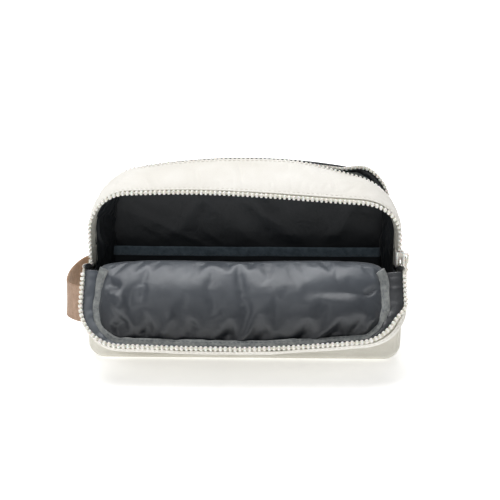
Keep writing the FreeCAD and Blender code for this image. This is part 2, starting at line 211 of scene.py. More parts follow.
def sheet_obj(name, P, mat, thick, toward=None, away=None, body=None, replaces=(), uv=None, bulk=0.45):
    """A cloth of real thickness from a grid of points on its seen face: the back is set in by its thickness, and its edges are rounded.
    toward / away: a point that the seen face looks at, or looks away from."""
    P = np.asarray(P, float)
    nu, nv = P.shape[:2]
    N = grid_normals(P)
    ref = (np.asarray(toward, float) - P) if toward is not None else (P - np.asarray(away, float))
    if np.mean(np.sum(N * ref, -1)) < 0:
        P = P[:, ::-1]
        uv = uv[:, ::-1] if uv is not None else None
        N = grid_normals(P)
    Q = P - N * thick
    if uv is None:
        lu = np.concatenate([[0], np.cumsum(np.linalg.norm(np.diff(P[:, nv // 2], axis=0), axis=1))])
        lv = np.concatenate([[0], np.cumsum(np.linalg.norm(np.diff(P[nu // 2], axis=0), axis=1))])
        uv = np.stack(np.meshgrid(lu * 0.001, lv * 0.001, indexing="ij"), -1)
    ring = [(i, 0) for i in range(nu)] + [(nu - 1, j) for j in range(1, nv)] + [(i, nv - 1) for i in range(nu - 2, -1, -1)] + [(0, j) for j in range(nv - 2, 0, -1)]
    ri = np.array([r[0] for r in ring]); rj = np.array([r[1] for r in ring])
    inner_i, inner_j = np.clip(ri, 1, nu - 2), np.clip(rj, 1, nv - 2)
    out = P[ri, rj] - P[inner_i, inner_j]
    out /= np.maximum(np.linalg.norm(out, axis=1, keepdims=True), 1e-9)
    M = (P[ri, rj] + Q[ri, rj]) / 2 + out * thick * bulk
    V = np.concatenate([P.reshape(-1, 3), Q.reshape(-1, 3), M])
    UV = np.concatenate([uv.reshape(-1, 2), uv.reshape(-1, 2), uv[ri, rj]])
    n1, n2 = nu * nv, 2 * nu * nv
    F = []
    for i in range(nu - 1):
        for j in range(nv - 1):
            a, b, c, d = i * nv + j, (i + 1) * nv + j, (i + 1) * nv + j + 1, i * nv + j + 1
            F.append((a, b, c, d))
            F.append((n1 + d, n1 + c, n1 + b, n1 + a))
    L = len(ring)
    for k in range(L):
        k2 = (k + 1) % L
        a, b = ri[k] * nv + rj[k], ri[k2] * nv + rj[k2]
        F.append((int(b), int(a), n2 + k, n2 + k2))
        F.append((n2 + k2, n2 + k, int(n1 + a), int(n1 + b)))
    ob = make_obj(name, V, F, mat, UV)
    finish_piece(ob, body, replaces)
    return ob


def finish_piece(ob, body, replaces=()):
    if body:
        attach(ob, body)
    if replaces:
        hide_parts(*replaces)
    return ob


def tube(name, path, radius, mat, body, sides=8, closed=False, squash_=1.0, caps=True, uvlen=True, normal=None, replaces=()):
    """A round or flattened cord along a path. normal: per-point direction of the short axis."""
    path = np.asarray(path, float)
    n = len(path)
    T = np.gradient(path, axis=0)
    T /= np.maximum(np.linalg.norm(T, axis=1, keepdims=True), 1e-9)
    if normal is None:
        ref = np.array([0, 1.0, 0]) if abs(T[:, 1]).mean() < 0.8 else np.array([0, 0, 1.0])
        normal = np.cross(T, np.cross(np.tile(ref, (n, 1)), T))
    normal = normal - np.sum(normal * T, 1, keepdims=True) * T
    normal /= np.maximum(np.linalg.norm(normal, axis=1, keepdims=True), 1e-9)
    Bn = np.cross(T, normal)
    ra = radius if np.ndim(radius) else np.full(n, radius)
    V, UV, F = [], [], []
    L = np.concatenate([[0], np.cumsum(np.linalg.norm(np.diff(path, axis=0), axis=1))])
    for i in range(n):
        for k in range(sides):
            a = 2 * math.pi * k / sides
            V.append(path[i] + ra[i] * (math.cos(a) * squash_ * normal[i] + math.sin(a) * Bn[i]))
            UV.append((L[i] * 0.001, k / sides * 6.28 * ra[i] * 0.001))
    for i in range(n - 1):
        for k in range(sides):
            k2 = (k + 1) % sides
            F.append((i * sides + k, i * sides + k2, (i + 1) * sides + k2, (i + 1) * sides + k))
    if caps:
        F.append(tuple(range(sides))[::-1])
        F.append(tuple((n - 1) * sides + k for k in range(sides)))
    ob = make_obj(name, V, F, mat, np.array(UV))
    finish_piece(ob, body, replaces)
    return ob


def stitches(name, paths, mat, body, length=2.6, gap=1.0, radius=0.26, out=None):
    """Rows of separate thread stitches lying on a seam: each is a small capsule that dips in at its ends."""
    V, F = [], []
    for path, nor in paths:
        path, nor = np.asarray(path, float), np.asarray(nor, float)
        L = np.concatenate([[0], np.cumsum(np.linalg.norm(np.diff(path, axis=0), axis=1))])
        total = L[-1]
        count = int(total // (length + gap))
        for k in range(count):
            a = (k + 0.5) * total / count - length / 2
            us = a + np.array([0.0, 0.12, 0.5, 0.88, 1.0]) * length
            pts = np.stack([np.interp(us, L, path[:, c]) for c in range(3)], 1)
            ns = np.stack([np.interp(us, L, nor[:, c]) for c in range(3)], 1)
            ns /= np.maximum(np.linalg.norm(ns, axis=1, keepdims=True), 1e-9)
            pts = pts + ns * np.array([-0.25, 0.02, 0.12, 0.02, -0.25])[:, None]
            rr = np.array([0.35, 0.85, 1.0, 0.85, 0.35]) * radius
            T = pts[-1] - pts[0]
            T /= max(np.linalg.norm(T), 1e-9)
            base = len(V)
            for i in range(5):
                bn = np.cross(T, ns[i])
                for j in range(6):
                    an = 2 * math.pi * j / 6
                    V.append(pts[i] + rr[i] * (math.cos(an) * ns[i] * 0.8 + math.sin(an) * bn))
            for i in range(4):
                for j in range(6):
                    j2 = (j + 1) % 6
                    F.append((base + i * 6 + j, base + (i + 1) * 6 + j, base + (i + 1) * 6 + j2, base + i * 6 + j2))
            F.append(tuple(base + j for j in range(6)))
            F.append(tuple(base + 24 + j for j in range(6))[::-1])
    ob = make_obj(name, V, F, mat)
    finish_piece(ob, body, ())
    return ob


# ------------------------------------------------------------------ materials
def srgb(r, g, b):
    def f(c):
        c /= 255.0
        return c / 12.92 if c <= 0.04045 else ((c + 0.055) / 1.055) ** 2.4
    return (f(r), f(g), f(b), 1.0)


class Mat:
    def __init__(self, name, rough=0.6, sheen=0.0, spec=0.5, **sockets):
        self.m = bpy.data.materials.new(name)
        self.m.use_nodes = True
        self.nt = self.m.node_tree
        self.bsdf = self.nt.nodes["Principled BSDF"]
        self.bsdf.inputs["Roughness"].default_value = rough
        self.bsdf.inputs["Specular IOR Level"].default_value = spec
        self.bsdf.inputs["Sheen Weight"].default_value = sheen
        for k, v in sockets.items():
            self.bsdf.inputs[k.replace("_", " ")].default_value = v
        self.co = self.node("ShaderNodeTexCoord")

    def node(self, kind, **props):
        n = self.nt.nodes.new(kind)
        for k, v in props.items():
            setattr(n, k, v)
        return n

    def link(self, a, b):
        self.nt.links.new(a, b)

    def scaled(self, out, scale):
        mp = self.node("ShaderNodeMapping")
        mp.inputs["Scale"].default_value = scale if hasattr(scale, "__len__") else (scale,) * 3
        self.link(self.co.outputs[out], mp.inputs["Vector"])
        return mp.outputs["Vector"]

    def noise(self, vec, scale, detail=3, rough=0.55, distortion=0.0):
        n = self.node("ShaderNodeTexNoise")
        self.link(vec, n.inputs["Vector"])
        n.inputs["Scale"].default_value = scale
        n.inputs["Detail"].default_value = detail
        n.inputs["Roughness"].default_value = rough
        n.inputs["Distortion"].default_value = distortion
        return n.outputs["Fac"]

    def wave(self, vec, period, direction="X", profile="SIN", distortion=0.0):
        n = self.node("ShaderNodeTexWave", wave_type="BANDS", bands_direction=direction, wave_profile=profile)
        self.link(vec, n.inputs["Vector"])
        n.inputs["Scale"].default_value = 0.31416 / period
        n.inputs["Distortion"].default_value = distortion
        return n.outputs["Fac"]

    def math(self, op, a, b=None, c=None):
        n = self.node("ShaderNodeMath", operation=op)
        for i, v in enumerate((a, b, c)):
            if v is None:
                continue
            if isinstance(v, (int, float)):
                n.inputs[i].default_value = v
            else:
                self.link(v, n.inputs[i])
        return n.outputs[0]

    def ramp(self, fac, stops):
        n = self.node("ShaderNodeValToRGB")
        e = n.color_ramp.elements
        while len(e) < len(stops):
            e.new(0.5)
        for k, (p, c) in enumerate(stops):
            e[k].position = p
            e[k].color = c if hasattr(c, "__len__") else (c, c, c, 1)
        self.link(fac, n.inputs["Fac"])
        return n.outputs["Color"]

    def mix(self, fac, a, b, blend="MIX"):
        n = self.node("ShaderNodeMix", data_type="RGBA", blend_type=blend)
        if isinstance(fac, (int, float)):
            n.inputs[0].default_value = fac
        else:
            self.link(fac, n.inputs[0])
        for i, v in ((6, a), (7, b)):
            if isinstance(v, tuple):
                n.inputs[i].default_value = v
            else:
                self.link(v, n.inputs[i])
        return n.outputs[2]

    def color(self, out):
        self.link(out, self.bsdf.inputs["Base Color"])

    def rough(self, out, lo, hi):
        n = self.node("ShaderNodeMapRange")
        n.inputs["To Min"].default_value, n.inputs["To Max"].default_value = lo, hi
        self.link(out, n.inputs["Value"])
        self.link(n.outputs[0], self.bsdf.inputs["Roughness"])

    def bump(self, layers):
        """layers: (height socket, distance in metres, strength)"""
        prev = None
        for h, dist, strength in layers:
            b = self.node("ShaderNodeBump")
            b.inputs["Distance"].default_value = dist
            b.inputs["Strength"].default_value = strength
            self.link(h, b.inputs["Height"])
            if prev is not None:
                self.link(prev, b.inputs["Normal"])
            prev = b.outputs["Normal"]
        self.link(prev, self.bsdf.inputs["Normal"])

    def weave(self, vec, pitch):
        """Plain weave: warp and weft threads that pass over and under each other."""
        wx, wy = self.wave(vec, pitch, "X"), self.wave(vec, pitch, "Y")
        ch = self.node("ShaderNodeTexChecker")
        self.link(vec, ch.inputs["Vector"])
        ch.inputs["Scale"].default_value = 1.0 / pitch
        return self.math("ADD", self.math("MULTIPLY", wx, ch.outputs["Fac"]), self.math("MULTIPLY", wy, self.math("SUBTRACT", 1.0, ch.outputs["Fac"])))


def mat_canvas(name, base, dark):
    m = Mat(name, rough=0.62, sheen=0.12, spec=0.35, Sheen_Roughness=0.5)
    uv, ob = m.scaled("UV", 1000), m.scaled("Object", 1000)
    broad = m.noise(ob, 0.018, 3, 0.6)
    fine = m.noise(ob, 0.55, 4, 0.65)
    c = m.mix(m.ramp(broad, [(0.35, 0.0), (0.7, 1.0)]), dark, base)
    speck = m.ramp(m.noise(ob, 1.4, 2, 0.5), [(0.30, (0.90, 0.89, 0.86, 1)), (0.42, (1, 1, 1, 1))])
    c = m.mix(0.5, c, speck, "MULTIPLY")
    w = m.weave(uv, 0.62)
    c = m.mix(m.math("MULTIPLY", m.math("SUBTRACT", 1.0, w), 0.10), c, dark)
    m.color(c)
    m.rough(fine, 0.50, 0.72)
    m.bump([(m.noise(ob, 0.10, 3, 0.55, 0.4), 0.0009, 0.22), (w, 0.00012, 0.35), (fine, 0.00010, 0.35)])
    return m.m


def mat_satin(name, base, dark, rough=(0.34, 0.50), sheen=0.25, crease=0.3, spec=0.5, painted_shade=None):
    m = Mat(name, rough=0.42, sheen=sheen, spec=spec, Sheen_Roughness=0.35, Anisotropic=0.35)
    uv, ob = m.scaled("UV", 1000), m.scaled("Object", 1000)
    broad = m.noise(ob, 0.03, 3, 0.6)
    m_thread = m.noise(m.scaled("UV", (90, 2600, 1)), 1.0, 2, 0.6)
    c = m.mix(m.ramp(broad, [(0.3, 0.0), (0.75, 1.0)]), dark, base)
    c = m.mix(m.math("MULTIPLY", m_thread, 0.22), c, dark)
    # Painted shade: the colour is mixed toward a darker colour along the cloth's length, standing in for light falling
    # off across the cloth.
    if painted_shade:                                                   # the colour fades along the cloth's length, between two lengths in metres
        sep = m.node("ShaderNodeSeparateXYZ")
        m.link(m.scaled("UV", 1), sep.inputs[0])
        c = m.mix(m.ramp(m.math("MULTIPLY", sep.outputs["X"], 5.0), [(painted_shade[0] * 5, 0.0), (painted_shade[1] * 5, 1.0)]), c, painted_shade[2])
    m.color(c)
    m.rough(m.noise(ob, 0.12, 3, 0.6), rough[0], rough[1])
    tw = m.node("ShaderNodeMapping")
    tw.inputs["Rotation"].default_value = (0, 0, math.radians(58))
    m.link(uv, tw.inputs["Vector"])
    twill = m.wave(tw.outputs["Vector"], 0.42, "X")
    m.bump([(m.noise(ob, 0.085, 3, 0.5, 0.6), 0.0011, crease), (m.noise(ob, 0.30, 2, 0.5, 0.3), 0.0003, crease * 0.7), (twill, 0.00006, 0.35)])
    return m.m


def mat_ribbed(name, base, dark, period, direction="X", rough=0.7, depth=0.00025, sheen=0.2, herring=False):
    m = Mat(name, rough=rough, sheen=sheen, spec=0.35, Sheen_Roughness=0.5)
    uv, ob = m.scaled("UV", 1000), m.scaled("Object", 1000)
    r = m.wave(uv, period, direction, distortion=0.25)
    if herring:
        a = m.node("ShaderNodeMapping"); a.inputs["Rotation"].default_value = (0, 0, math.radians(45)); m.link(uv, a.inputs["Vector"])
        b = m.node("ShaderNodeMapping"); b.inputs["Rotation"].default_value = (0, 0, math.radians(-45)); m.link(uv, b.inputs["Vector"])
        ch = m.wave(uv, 3.2, "Y", "TRI")
        pick = m.ramp(ch, [(0.49, 0.0), (0.51, 1.0)])
        r = m.mix(pick, m.wave(a.outputs["Vector"], period, "X"), m.wave(b.outputs["Vector"], period, "X"))
    n = m.noise(ob, 0.25, 3, 0.6)
    c = m.mix(m.ramp(n, [(0.3, 0.0), (0.72, 1.0)]), dark, base)
    c = m.mix(m.math("MULTIPLY", m.math("SUBTRACT", 1.0, r), 0.35), c, dark)
    m.color(c)
    m.rough(n, rough - 0.1, min(rough + 0.12, 0.95))
    m.bump([(n, 0.0003, 0.25), (r, depth, 0.6), (m.noise(ob, 2.2, 2, 0.6), 0.00008, 0.3)])
    return m.m


def mat_plastic(name, base, dark, rough=0.36):
    m = Mat(name, rough=rough, spec=0.5, Subsurface_Weight=0.06, Subsurface_Scale=0.002)
    ob = m.scaled("Object", 1000)
    n = m.noise(ob, 0.22, 3, 0.55)
    c = m.mix(m.ramp(n, [(0.3, 0.0), (0.7, 1.0)]), dark, base)
    grime = m.ramp(m.noise(ob, 0.05, 4, 0.7), [(0.32, (0.93, 0.92, 0.88, 1)), (0.55, (1, 1, 1, 1))])
    m.color(m.mix(0.6, c, grime, "MULTIPLY"))
    m.rough(m.noise(ob, 0.8, 2, 0.5), rough - 0.08, rough + 0.12)
    m.bump([(m.noise(ob, 0.7, 2, 0.5), 0.0001, 0.12), (m.noise(ob, 4.0, 2, 0.5), 0.00002, 0.25)])
    return m.m


def mat_leather(name, base, dark, edge):
    m = Mat(name, rough=0.5, spec=0.4)
    ob = m.scaled("Object", 1000)
    v = m.node("ShaderNodeTexVoronoi", feature="DISTANCE_TO_EDGE")
    m.link(ob, v.inputs["Vector"]); v.inputs["Scale"].default_value = 1.6
    n = m.noise(ob, 0.2, 3, 0.6)
    m.color(m.mix(m.ramp(n, [(0.3, 0.0), (0.7, 1.0)]), dark, base))
    m.rough(n, 0.42, 0.6)
    m.bump([(m.ramp(v.outputs["Distance"], [(0.0, 0.0), (0.16, 1.0)]), 0.00012, 0.35), (n, 0.0002, 0.2)])
    return m.m


M_OUT = mat_canvas("coated_canvas", srgb(246, 244, 239), srgb(236, 233, 226))
M_OUT2 = mat_canvas("coated_canvas_side", srgb(242, 240, 232), srgb(231, 228, 218))
# The flap lining darkens to srgb(36, 40, 46) toward the flap's far edge: painted shade for the light falling off down
# the folded flap.
M_PAD = mat_satin("satin_lining_flap", srgb(106, 112, 119), srgb(84, 90, 98), crease=0.26, spec=1.0, sheen=0.5, painted_shade=(0.088, 0.138, srgb(36, 40, 46)))
# The same lining satin as the flap's, set much darker for the parts inside the bag: painted shade for the dark inside
# of the bag.
M_LIN = mat_satin("satin_lining_inside", srgb(52, 56, 60), srgb(36, 40, 44), rough=(0.38, 0.54), crease=0.5, spec=0.6, sheen=0.12)
M_BIND = mat_ribbed("grosgrain_binding", srgb(184, 186, 184), srgb(128, 132, 133), 0.9, "X", depth=0.0004)
M_PBIND = mat_ribbed("pocket_twill_band", srgb(126, 141, 152), srgb(92, 106, 117), 0.7, "X", depth=0.0002)
M_TAPE = mat_ribbed("zipper_tape", srgb(238, 236, 227), srgb(216, 213, 200), 0.6, "X", herring=True, depth=0.00018)
M_STRAP = mat_ribbed("webbing", srgb(200, 170, 146), srgb(168, 136, 110), 1.15, "X", depth=0.0004, sheen=0.3)
M_TOOTH = mat_plastic("moulded_acetal", srgb(252, 251, 247), srgb(244, 242, 235))
M_SLIDER = mat_plastic("moulded_slider", srgb(253, 252, 249), srgb(244, 242, 236), rough=0.3)
M_WIRE = mat_plastic("painted_wire", srgb(238, 236, 230), srgb(220, 217, 208), rough=0.28)
M_TAB = mat_leather("tab_leather", srgb(233, 229, 219), srgb(214, 208, 194), None)
M_THREAD = mat_ribbed("thread_white", srgb(244, 242, 235), srgb(222, 219, 208), 0.5, "X", depth=0.0001)
M_THREAD_G = mat_ribbed("thread_gray", srgb(150, 156, 160), srgb(118, 124, 130), 0.5, "X", depth=0.0001)
M_THREAD_T = mat_ribbed("thread_tan", srgb(172, 140, 116), srgb(136, 104, 80), 0.5, "X", depth=0.0001)

# ------------------------------------------------------------------ camera, light, floor
def set_camera(f_px, D, th, psi, T):
    cam = bpy.data.cameras.new("camera")
    ob = bpy.data.objects.new("camera", cam)
    scene.collection.objects.link(ob)
    scene.camera = ob
    cam.sensor_width = 36.0
    cam.lens = f_px / 500.0 * 36.0
    cam.clip_start, cam.clip_end = 0.01, 50.0
    th, psi = math.radians(th), math.radians(psi)
    F = Vector((-math.sin(psi) * math.cos(th), math.cos(psi) * math.cos(th), -math.sin(th)))
    R = Vector((math.cos(psi), math.sin(psi), 0))
    U = R.cross(F)
    loc = Vector(T) * 0.001 - F * D * 0.001
    ob.matrix_world = Matrix(((R.x, U.x, -F.x, loc.x), (R.y, U.y, -F.y, loc.y), (R.z, U.z, -F.z, loc.z), (0, 0, 0, 1)))
    return ob


set_camera(894.0, 701.0, 16.0, 1.3, (4.0, -13.0, 80.0))
scene.view_settings.view_transform = "Standard"
scene.view_settings.gamma = 0.86


def area(name, loc, target, size, power, shape="RECTANGLE", size_y=None, color=(1, 1, 1)):
    L = bpy.data.lights.new(name, "AREA")
    L.energy, L.shape, L.size, L.color = power, shape, size, color
    if size_y:
        L.size_y = size_y
    o = bpy.data.objects.new(name, L)
    scene.collection.objects.link(o)
    o.location = loc
    o.rotation_euler = (Vector(target) - Vector(loc)).to_track_quat("-Z", "Y").to_euler()
    return o


world = bpy.data.worlds.new("studio")
scene.world = world
world.use_nodes = True
world.node_tree.nodes["Background"].inputs["Color"].default_value = (1.0, 1.0, 1.0, 1)
world.node_tree.nodes["Background"].inputs["Strength"].default_value = 0.32
area("key", (-0.12, 0.22, 1.25), (0, 0.0, 0.06), 1.3, 13.6, size_y=0.9)
area("front_fill", (-0.5, -1.2, 0.95), (0, 0, 0.07), 0.6, 2.6, size_y=0.4)

fl = Mat("floor_paper", rough=0.85, spec=0.2)
fl.color(fl.mix(fl.ramp(fl.noise(fl.scaled("Object", 1), 3.0, 2), [(0.3, 0.0), (0.7, 1.0)]), (0.93, 0.93, 0.93, 1), (0.95, 0.95, 0.95, 1)))
fl.bump([(fl.noise(fl.scaled("Object", 1000), 0.5, 3), 0.0001, 0.1)])
fl.bsdf.inputs["Emission Color"].default_value = (1, 1, 1, 1)
far = fl.node("ShaderNodeVectorMath", operation="LENGTH")
fl.link(fl.scaled("Object", 1), far.inputs[0])
fl.link(fl.ramp(fl.math("MULTIPLY", far.outputs["Value"], 0.5), [(0.06, 0.38), (0.42, 1.0)]), fl.bsdf.inputs["Emission Strength"])
floor = make_obj("floor", [(-60000, -60000, -0.15), (60000, -60000, -0.15), (60000, 90000, -0.15), (-60000, 90000, -0.15)], [(0, 1, 2, 3)], fl.m, smooth_shade=False)


# ------------------------------------------------------------------ shared shapes
def band_grid(S, Y, off, z0=ZF):
    x, z, nx, nz = arch(Y[None, :], off, S[:, None], z0)
    y = np.broadcast_to(Y[None, :], x.shape)
    return np.stack([x, y, z], -1), np.stack([nx, np.zeros_like(nx), nz], -1)


def s_even(n, lo=0.0, hi=1.0, y=-30.0, z0=ZF):
    """Parameter values that are evenly spaced along the outline."""
    s = np.linspace(0, 1, 4001)
    x, z, _, _ = arch(y, 0.0, s, z0)
    L = np.concatenate([[0], np.cumsum(np.hypot(np.diff(x), np.diff(z)))])
    L /= L[-1]
    return np.interp(np.linspace(lo, hi, n), L, s)


def band_wave(P, N):
    """Slack of the outer cloth of the middle band."""
    y = P[..., 1]
    mid = 1 - np.clip(np.abs(y) / 21.5, 0, 1) ** 2.4
    corner = np.exp(-((np.abs(P[..., 0]) - 108) / 26) ** 2)
    w = 1.5 * mid + 0.9 * mid * fbm(P, (46, 24, 46), 3)
    w = w - mid * (0.5 + 1.1 * corner) * ridged(P + 0.4 * P[..., [2, 0, 1]], (34, 60, 34), 11)
    w = w - 0.45 * np.exp(-((np.abs(y) - 19.6) / 0.9) ** 2)
    return P + N * w[..., None]


def relax(P, pin, toward, grow=0.02, pressure=1.0, cap=5.0, step=2, frames=18, bend=0.5, mass=0.15, stiff=15.0):
    """A short cloth simulation of a grid of points (mm). pin is 1 where the cloth is sewn down."""
    nu, nv = P.shape[:2]
    iu = np.unique(np.append(np.arange(0, nu, step), nu - 1))
    iv = np.unique(np.append(np.arange(0, nv, step), nv - 1))
    C, K = P[np.ix_(iu, iv)], np.broadcast_to(pin, (nu, nv))[np.ix_(iu, iv)]
    a, b = len(iu), len(iv)
    idx = np.arange(a * b).reshape(a, b)
    q = np.stack([idx[:-1, :-1], idx[1:, :-1], idx[1:, 1:], idx[:-1, 1:]], -1).reshape(-1, 4)
    Nc = grid_normals(C)
    if np.sum(Nc * (np.asarray(toward, float) - C)) < 0:
        flip = True
    else:
        flip = False
    me = bpy.data.meshes.new("slack")
    V = C.reshape(-1, 3) * 0.01
    me.from_pydata([tuple(v) for v in V], [], [tuple(int(i) for i in f) for f in q])
    me.update()
    n0 = np.mean([np.dot(p.normal[:], np.asarray(toward, float) * 0.01 - V[p.vertices[0]]) for p in me.polygons])
    if n0 < 0:
        me.flip_normals()
    ob = bpy.data.objects.new("slack", me)
    scene.collection.objects.link(ob)
    vg = ob.vertex_groups.new(name="pin")
    flat = K.reshape(-1)
    for w in np.unique(np.round(flat, 2)):
        if w > 0:
            vg.add([int(i) for i in np.nonzero(np.round(flat, 2) == w)[0]], float(w), "REPLACE")
    md = ob.modifiers.new("cloth", "CLOTH")
    c = md.settings
    c.quality, c.mass, c.air_damping = 5, mass, 2.0
    c.tension_stiffness = c.compression_stiffness = stiff
    c.shear_stiffness, c.bending_stiffness = stiff * 0.4, bend
    c.tension_damping = c.compression_damping = 8.0
    c.vertex_group_mass = "pin"
    c.shrink_min = -grow
    c.use_pressure = True
    c.uniform_pressure_force = pressure
    c.effector_weights.gravity = 0.0
    md.collision_settings.use_collision = False
    md.collision_settings.use_self_collision = False
    md.point_cache.frame_start, md.point_cache.frame_end = 1, frames
    for f in range(1, frames + 1):
        scene.frame_set(f)
    ev = ob.evaluated_get(bpy.context.evaluated_depsgraph_get())
    m2 = ev.to_mesh()
    co = np.empty(len(m2.vertices) * 3)
    m2.vertices.foreach_get("co", co)
    ev.to_mesh_clear()
    bpy.data.objects.remove(ob)
    bpy.data.meshes.remove(me)
    scene.frame_set(1)
    D = (co.reshape(a, b, 3) - V.reshape(a, b, 3)) * 100.0
    D[~np.isfinite(D)] = 0.0
    L = np.linalg.norm(D, axis=-1, keepdims=True)
    print("relax: mean %.2f mm, most %.2f mm" % (L.mean(), L.max()))
    D = D * (cap * np.tanh(L / cap) / np.maximum(L, 1e-9))
    full = np.empty((nu, b, 3))
    for j in range(b):
        for k in range(3):
            full[:, j, k] = np.interp(np.arange(nu), iu, D[:, j, k])
    out = np.empty((nu, nv, 3))
    for i in range(nu):
        for k in range(3):
            out[i, :, k] = np.interp(np.arange(nv), iv, full[i, :, k])
    for ax in (0, 1):
        pad_ = np.concatenate([np.take(out, [0], ax), out, np.take(out, [-1], ax)], ax)
        lo_, hi_ = [slice(None)] * 3, [slice(None)] * 3
        lo_[ax], hi_[ax] = slice(0, -2), slice(2, None)
        out = 0.5 * out + 0.25 * (pad_[tuple(lo_)] + pad_[tuple(hi_)])
    return P + out


# ---- middle band
S = s_even(340)
Y = np.linspace(-22.3, 22.3, 52)
P, N = band_grid(S, Y, 0.0)
BAND = band_wave(P, N)
pin = (np.abs(Y) > 18.6).astype(float)[None, :] * np.ones((340, 1))
pin[:3] = pin[-3:] = 1.0
BAND = relax(BAND, pin, (0, 0, 300), grow=0.012, pressure=1.2, cap=1.6, bend=0.8)
band = sheet_obj("gusset_band", slump(BAND), M_OUT, 1.0, away=(0, 0, 60), body="bag", replaces=("middle_gusset", "gusset_foam"))


# ---- zipper tapes, beads and teeth
def tooth_template(length):
    prof = [(-0.9, 0.0), (-0.9, 1.15), (-0.6, 1.65), (-0.66, 2.05), (-0.98, 2.7), (-0.98, length - 0.7), (-0.62, length - 0.15), (-0.25, length),
            (0.25, length), (0.62, length - 0.15), (0.98, length - 0.7), (0.98, 2.7), (0.66, 2.05), (0.6, 1.65), (0.9, 1.15), (0.9, 0.0)]
    bm = bmesh.new()
    lo = [bm.verts.new((t, a, -1.4)) for t, a in prof]
    hi = [bm.verts.new((t, a, 1.4)) for t, a in prof]
    bm.faces.new(lo[::-1]); bm.faces.new(hi)
    n = len(prof)
    for i in range(n):
        bm.faces.new((lo[i], lo[(i + 1) % n], hi[(i + 1) % n], hi[i]))
    edges = [e for e in bm.edges if abs(e.verts[0].co.z - e.verts[1].co.z) < 1e-6]
    bmesh.ops.bevel(bm, geom=edges, offset=0.30, segments=2, affect="EDGES", profile=0.5)
    bm.normal_update()
    bmesh.ops.triangulate(bm, faces=[f for f in bm.faces if len(f.verts) > 6])
    V = np.array([v.co[:] for v in bm.verts])
    bm.verts.index_update()
    F = [tuple(v.index for v in f.verts) for f in bm.faces]
    bm.free()
    return V, F


TOOTH_V, TOOTH_F = tooth_template(4.45)


def centre_path(side, kind):
    s = np.linspace(0, 1, 3001)
    x, z, nx, nz = arch(side * 30.0, 1.4, s)
    P = slump(np.stack([x, np.full_like(x, side * 30.0), z], -1), kind)
    T = np.gradient(P, axis=0)
    T /= np.linalg.norm(T, axis=1, keepdims=True)
    L = np.concatenate([[0], np.cumsum(np.linalg.norm(np.diff(P, axis=0), axis=1))])
    return P, T, L


def teeth(name, side, fixed, node):
    P, T, L = centre_path(side, "bag" if fixed else side)
    total = L[-1]
    count = int(total // PITCH)
    first = (total - count * PITCH) / 2 + (0 if fixed else PITCH / 2)
    y_tip = side * (30.0 - 0.45) if fixed else side * (30.0 + 0.45)
    across = side if fixed else -side
    rng = np.random.RandomState(5 + int(fixed) + 2 * int(side > 0))
    Vs, Fs = [], []
    for k in range(count + 1):
        u = first + k * PITCH
        if not 2.9 <= u <= total - 5.2:
            continue
        q = np.array([np.interp(u, L, P[:, c]) for c in range(3)])
        t = np.array([np.interp(u, L, T[:, c]) for c in range(3)])
        t[1] = 0
        t /= np.linalg.norm(t)
        n = np.array([-t[2], 0, t[0]])
        yaw = rng.normal(0, 0.018)
        roll = rng.normal(0, 0.012)
        t2 = t * math.cos(roll) + n * math.sin(roll)
        n2 = -t * math.sin(roll) + n * math.cos(roll)
        a = TOOTH_V[:, 1]
        Vv = q[None] + TOOTH_V[:, :1] * t2 + TOOTH_V[:, 2:3] * n2 + (TOOTH_V[:, 1:2] - 2) * yaw * t2
        Vv[:, 1] = y_tip - across * (4.45 - a)
        base = len(Vs) * len(TOOTH_V)
        Vs.append(Vv)
        flip = (across > 0)
        for f in TOOTH_F:
            g = [base + i for i in f]
            Fs.append(tuple(g[::-1]) if not flip else tuple(g))
    V = np.concatenate(Vs)
    if not fixed:
        V = turn(V, side)
    ob = make_obj(name, V, Fs, M_TOOTH)
    fix_normals(ob)
    finish_piece(ob, "bag" if fixed else ("front_flap" if side < 0 else "back_flap"), (node,))
    return ob


def fix_normals(ob):
    bm = bmesh.new()
    bm.from_mesh(ob.data)
    bmesh.ops.recalc_face_normals(bm, faces=bm.faces)
    bm.to_mesh(ob.data)
    bm.free()
    ob.data.update()


teeth("teeth_front_body", -1, True, "front_teeth_body")
teeth("teeth_back_body", 1, True, "back_teeth_body")
teeth("teeth_front_flap", -1, False, "front_flap_teeth")
teeth("teeth_back_flap", 1, False, "back_flap_teeth")


def tape(name, side, fixed, node):
    z0 = ZF if fixed else 72.0
    S = s_even(260, z0=z0)
    Y = np.linspace(27.4, 19.4, 9) if fixed else np.linspace(32.6, 41.5, 9)
    P, N = band_grid(S, side * Y, 1.35, z0)
    # slack between the sewn edge and the bead; the body's tape leans in at the sides
    e = np.clip((np.abs(np.abs(P[..., 1]) - 30) - 2.4) / 5.0, 0, 1)
    P = P - N * (0.35 * np.sin(e * math.pi))[..., None] + N * (0.12 * fbm(P, (9, 9, 9), 21))[..., None]
    if fixed:
        P = P - N * (3.0 * np.clip((27.4 - np.abs(P[..., 1])) / 8, 0, 1) * np.abs(N[..., 0]) ** 2)[..., None]
    P = slump(P, "bag" if fixed else side)
    if not fixed:
        P = turn(P, side)
    c = turn(np.array([[0, side * 36.0, 90.0]]), side)[0] if not fixed else (0, 0, 60)
    ob = sheet_obj(name, P, M_TAPE, 0.65, away=c, body="bag" if fixed else ("front_flap" if side < 0 else "back_flap"), replaces=(node,))
    x, z, nx, nz = arch(side * (27.2 if fixed else 32.8), 1.65, s_even(420, z0=z0), z0)
    Q = slump(np.stack([x, np.full_like(x, side * (27.2 if fixed else 32.8)), z], -1), "bag" if fixed else side)
    NN = np.stack([nx, np.zeros_like(nx), nz], -1)
    if not fixed:
        Q = turn(Q, side)
    tube(name + "_bead", Q, 0.78, M_TAPE, "bag" if fixed else ("front_flap" if side < 0 else "back_flap"), sides=8)
    return ob


tape("tape_front_body", -1, True, "front_tape_body")
tape("tape_back_body", 1, True, "back_tape_body")
tape("tape_front_flap", -1, False, "front_flap_tape")
tape("tape_back_flap", 1, False, "back_flap_tape")


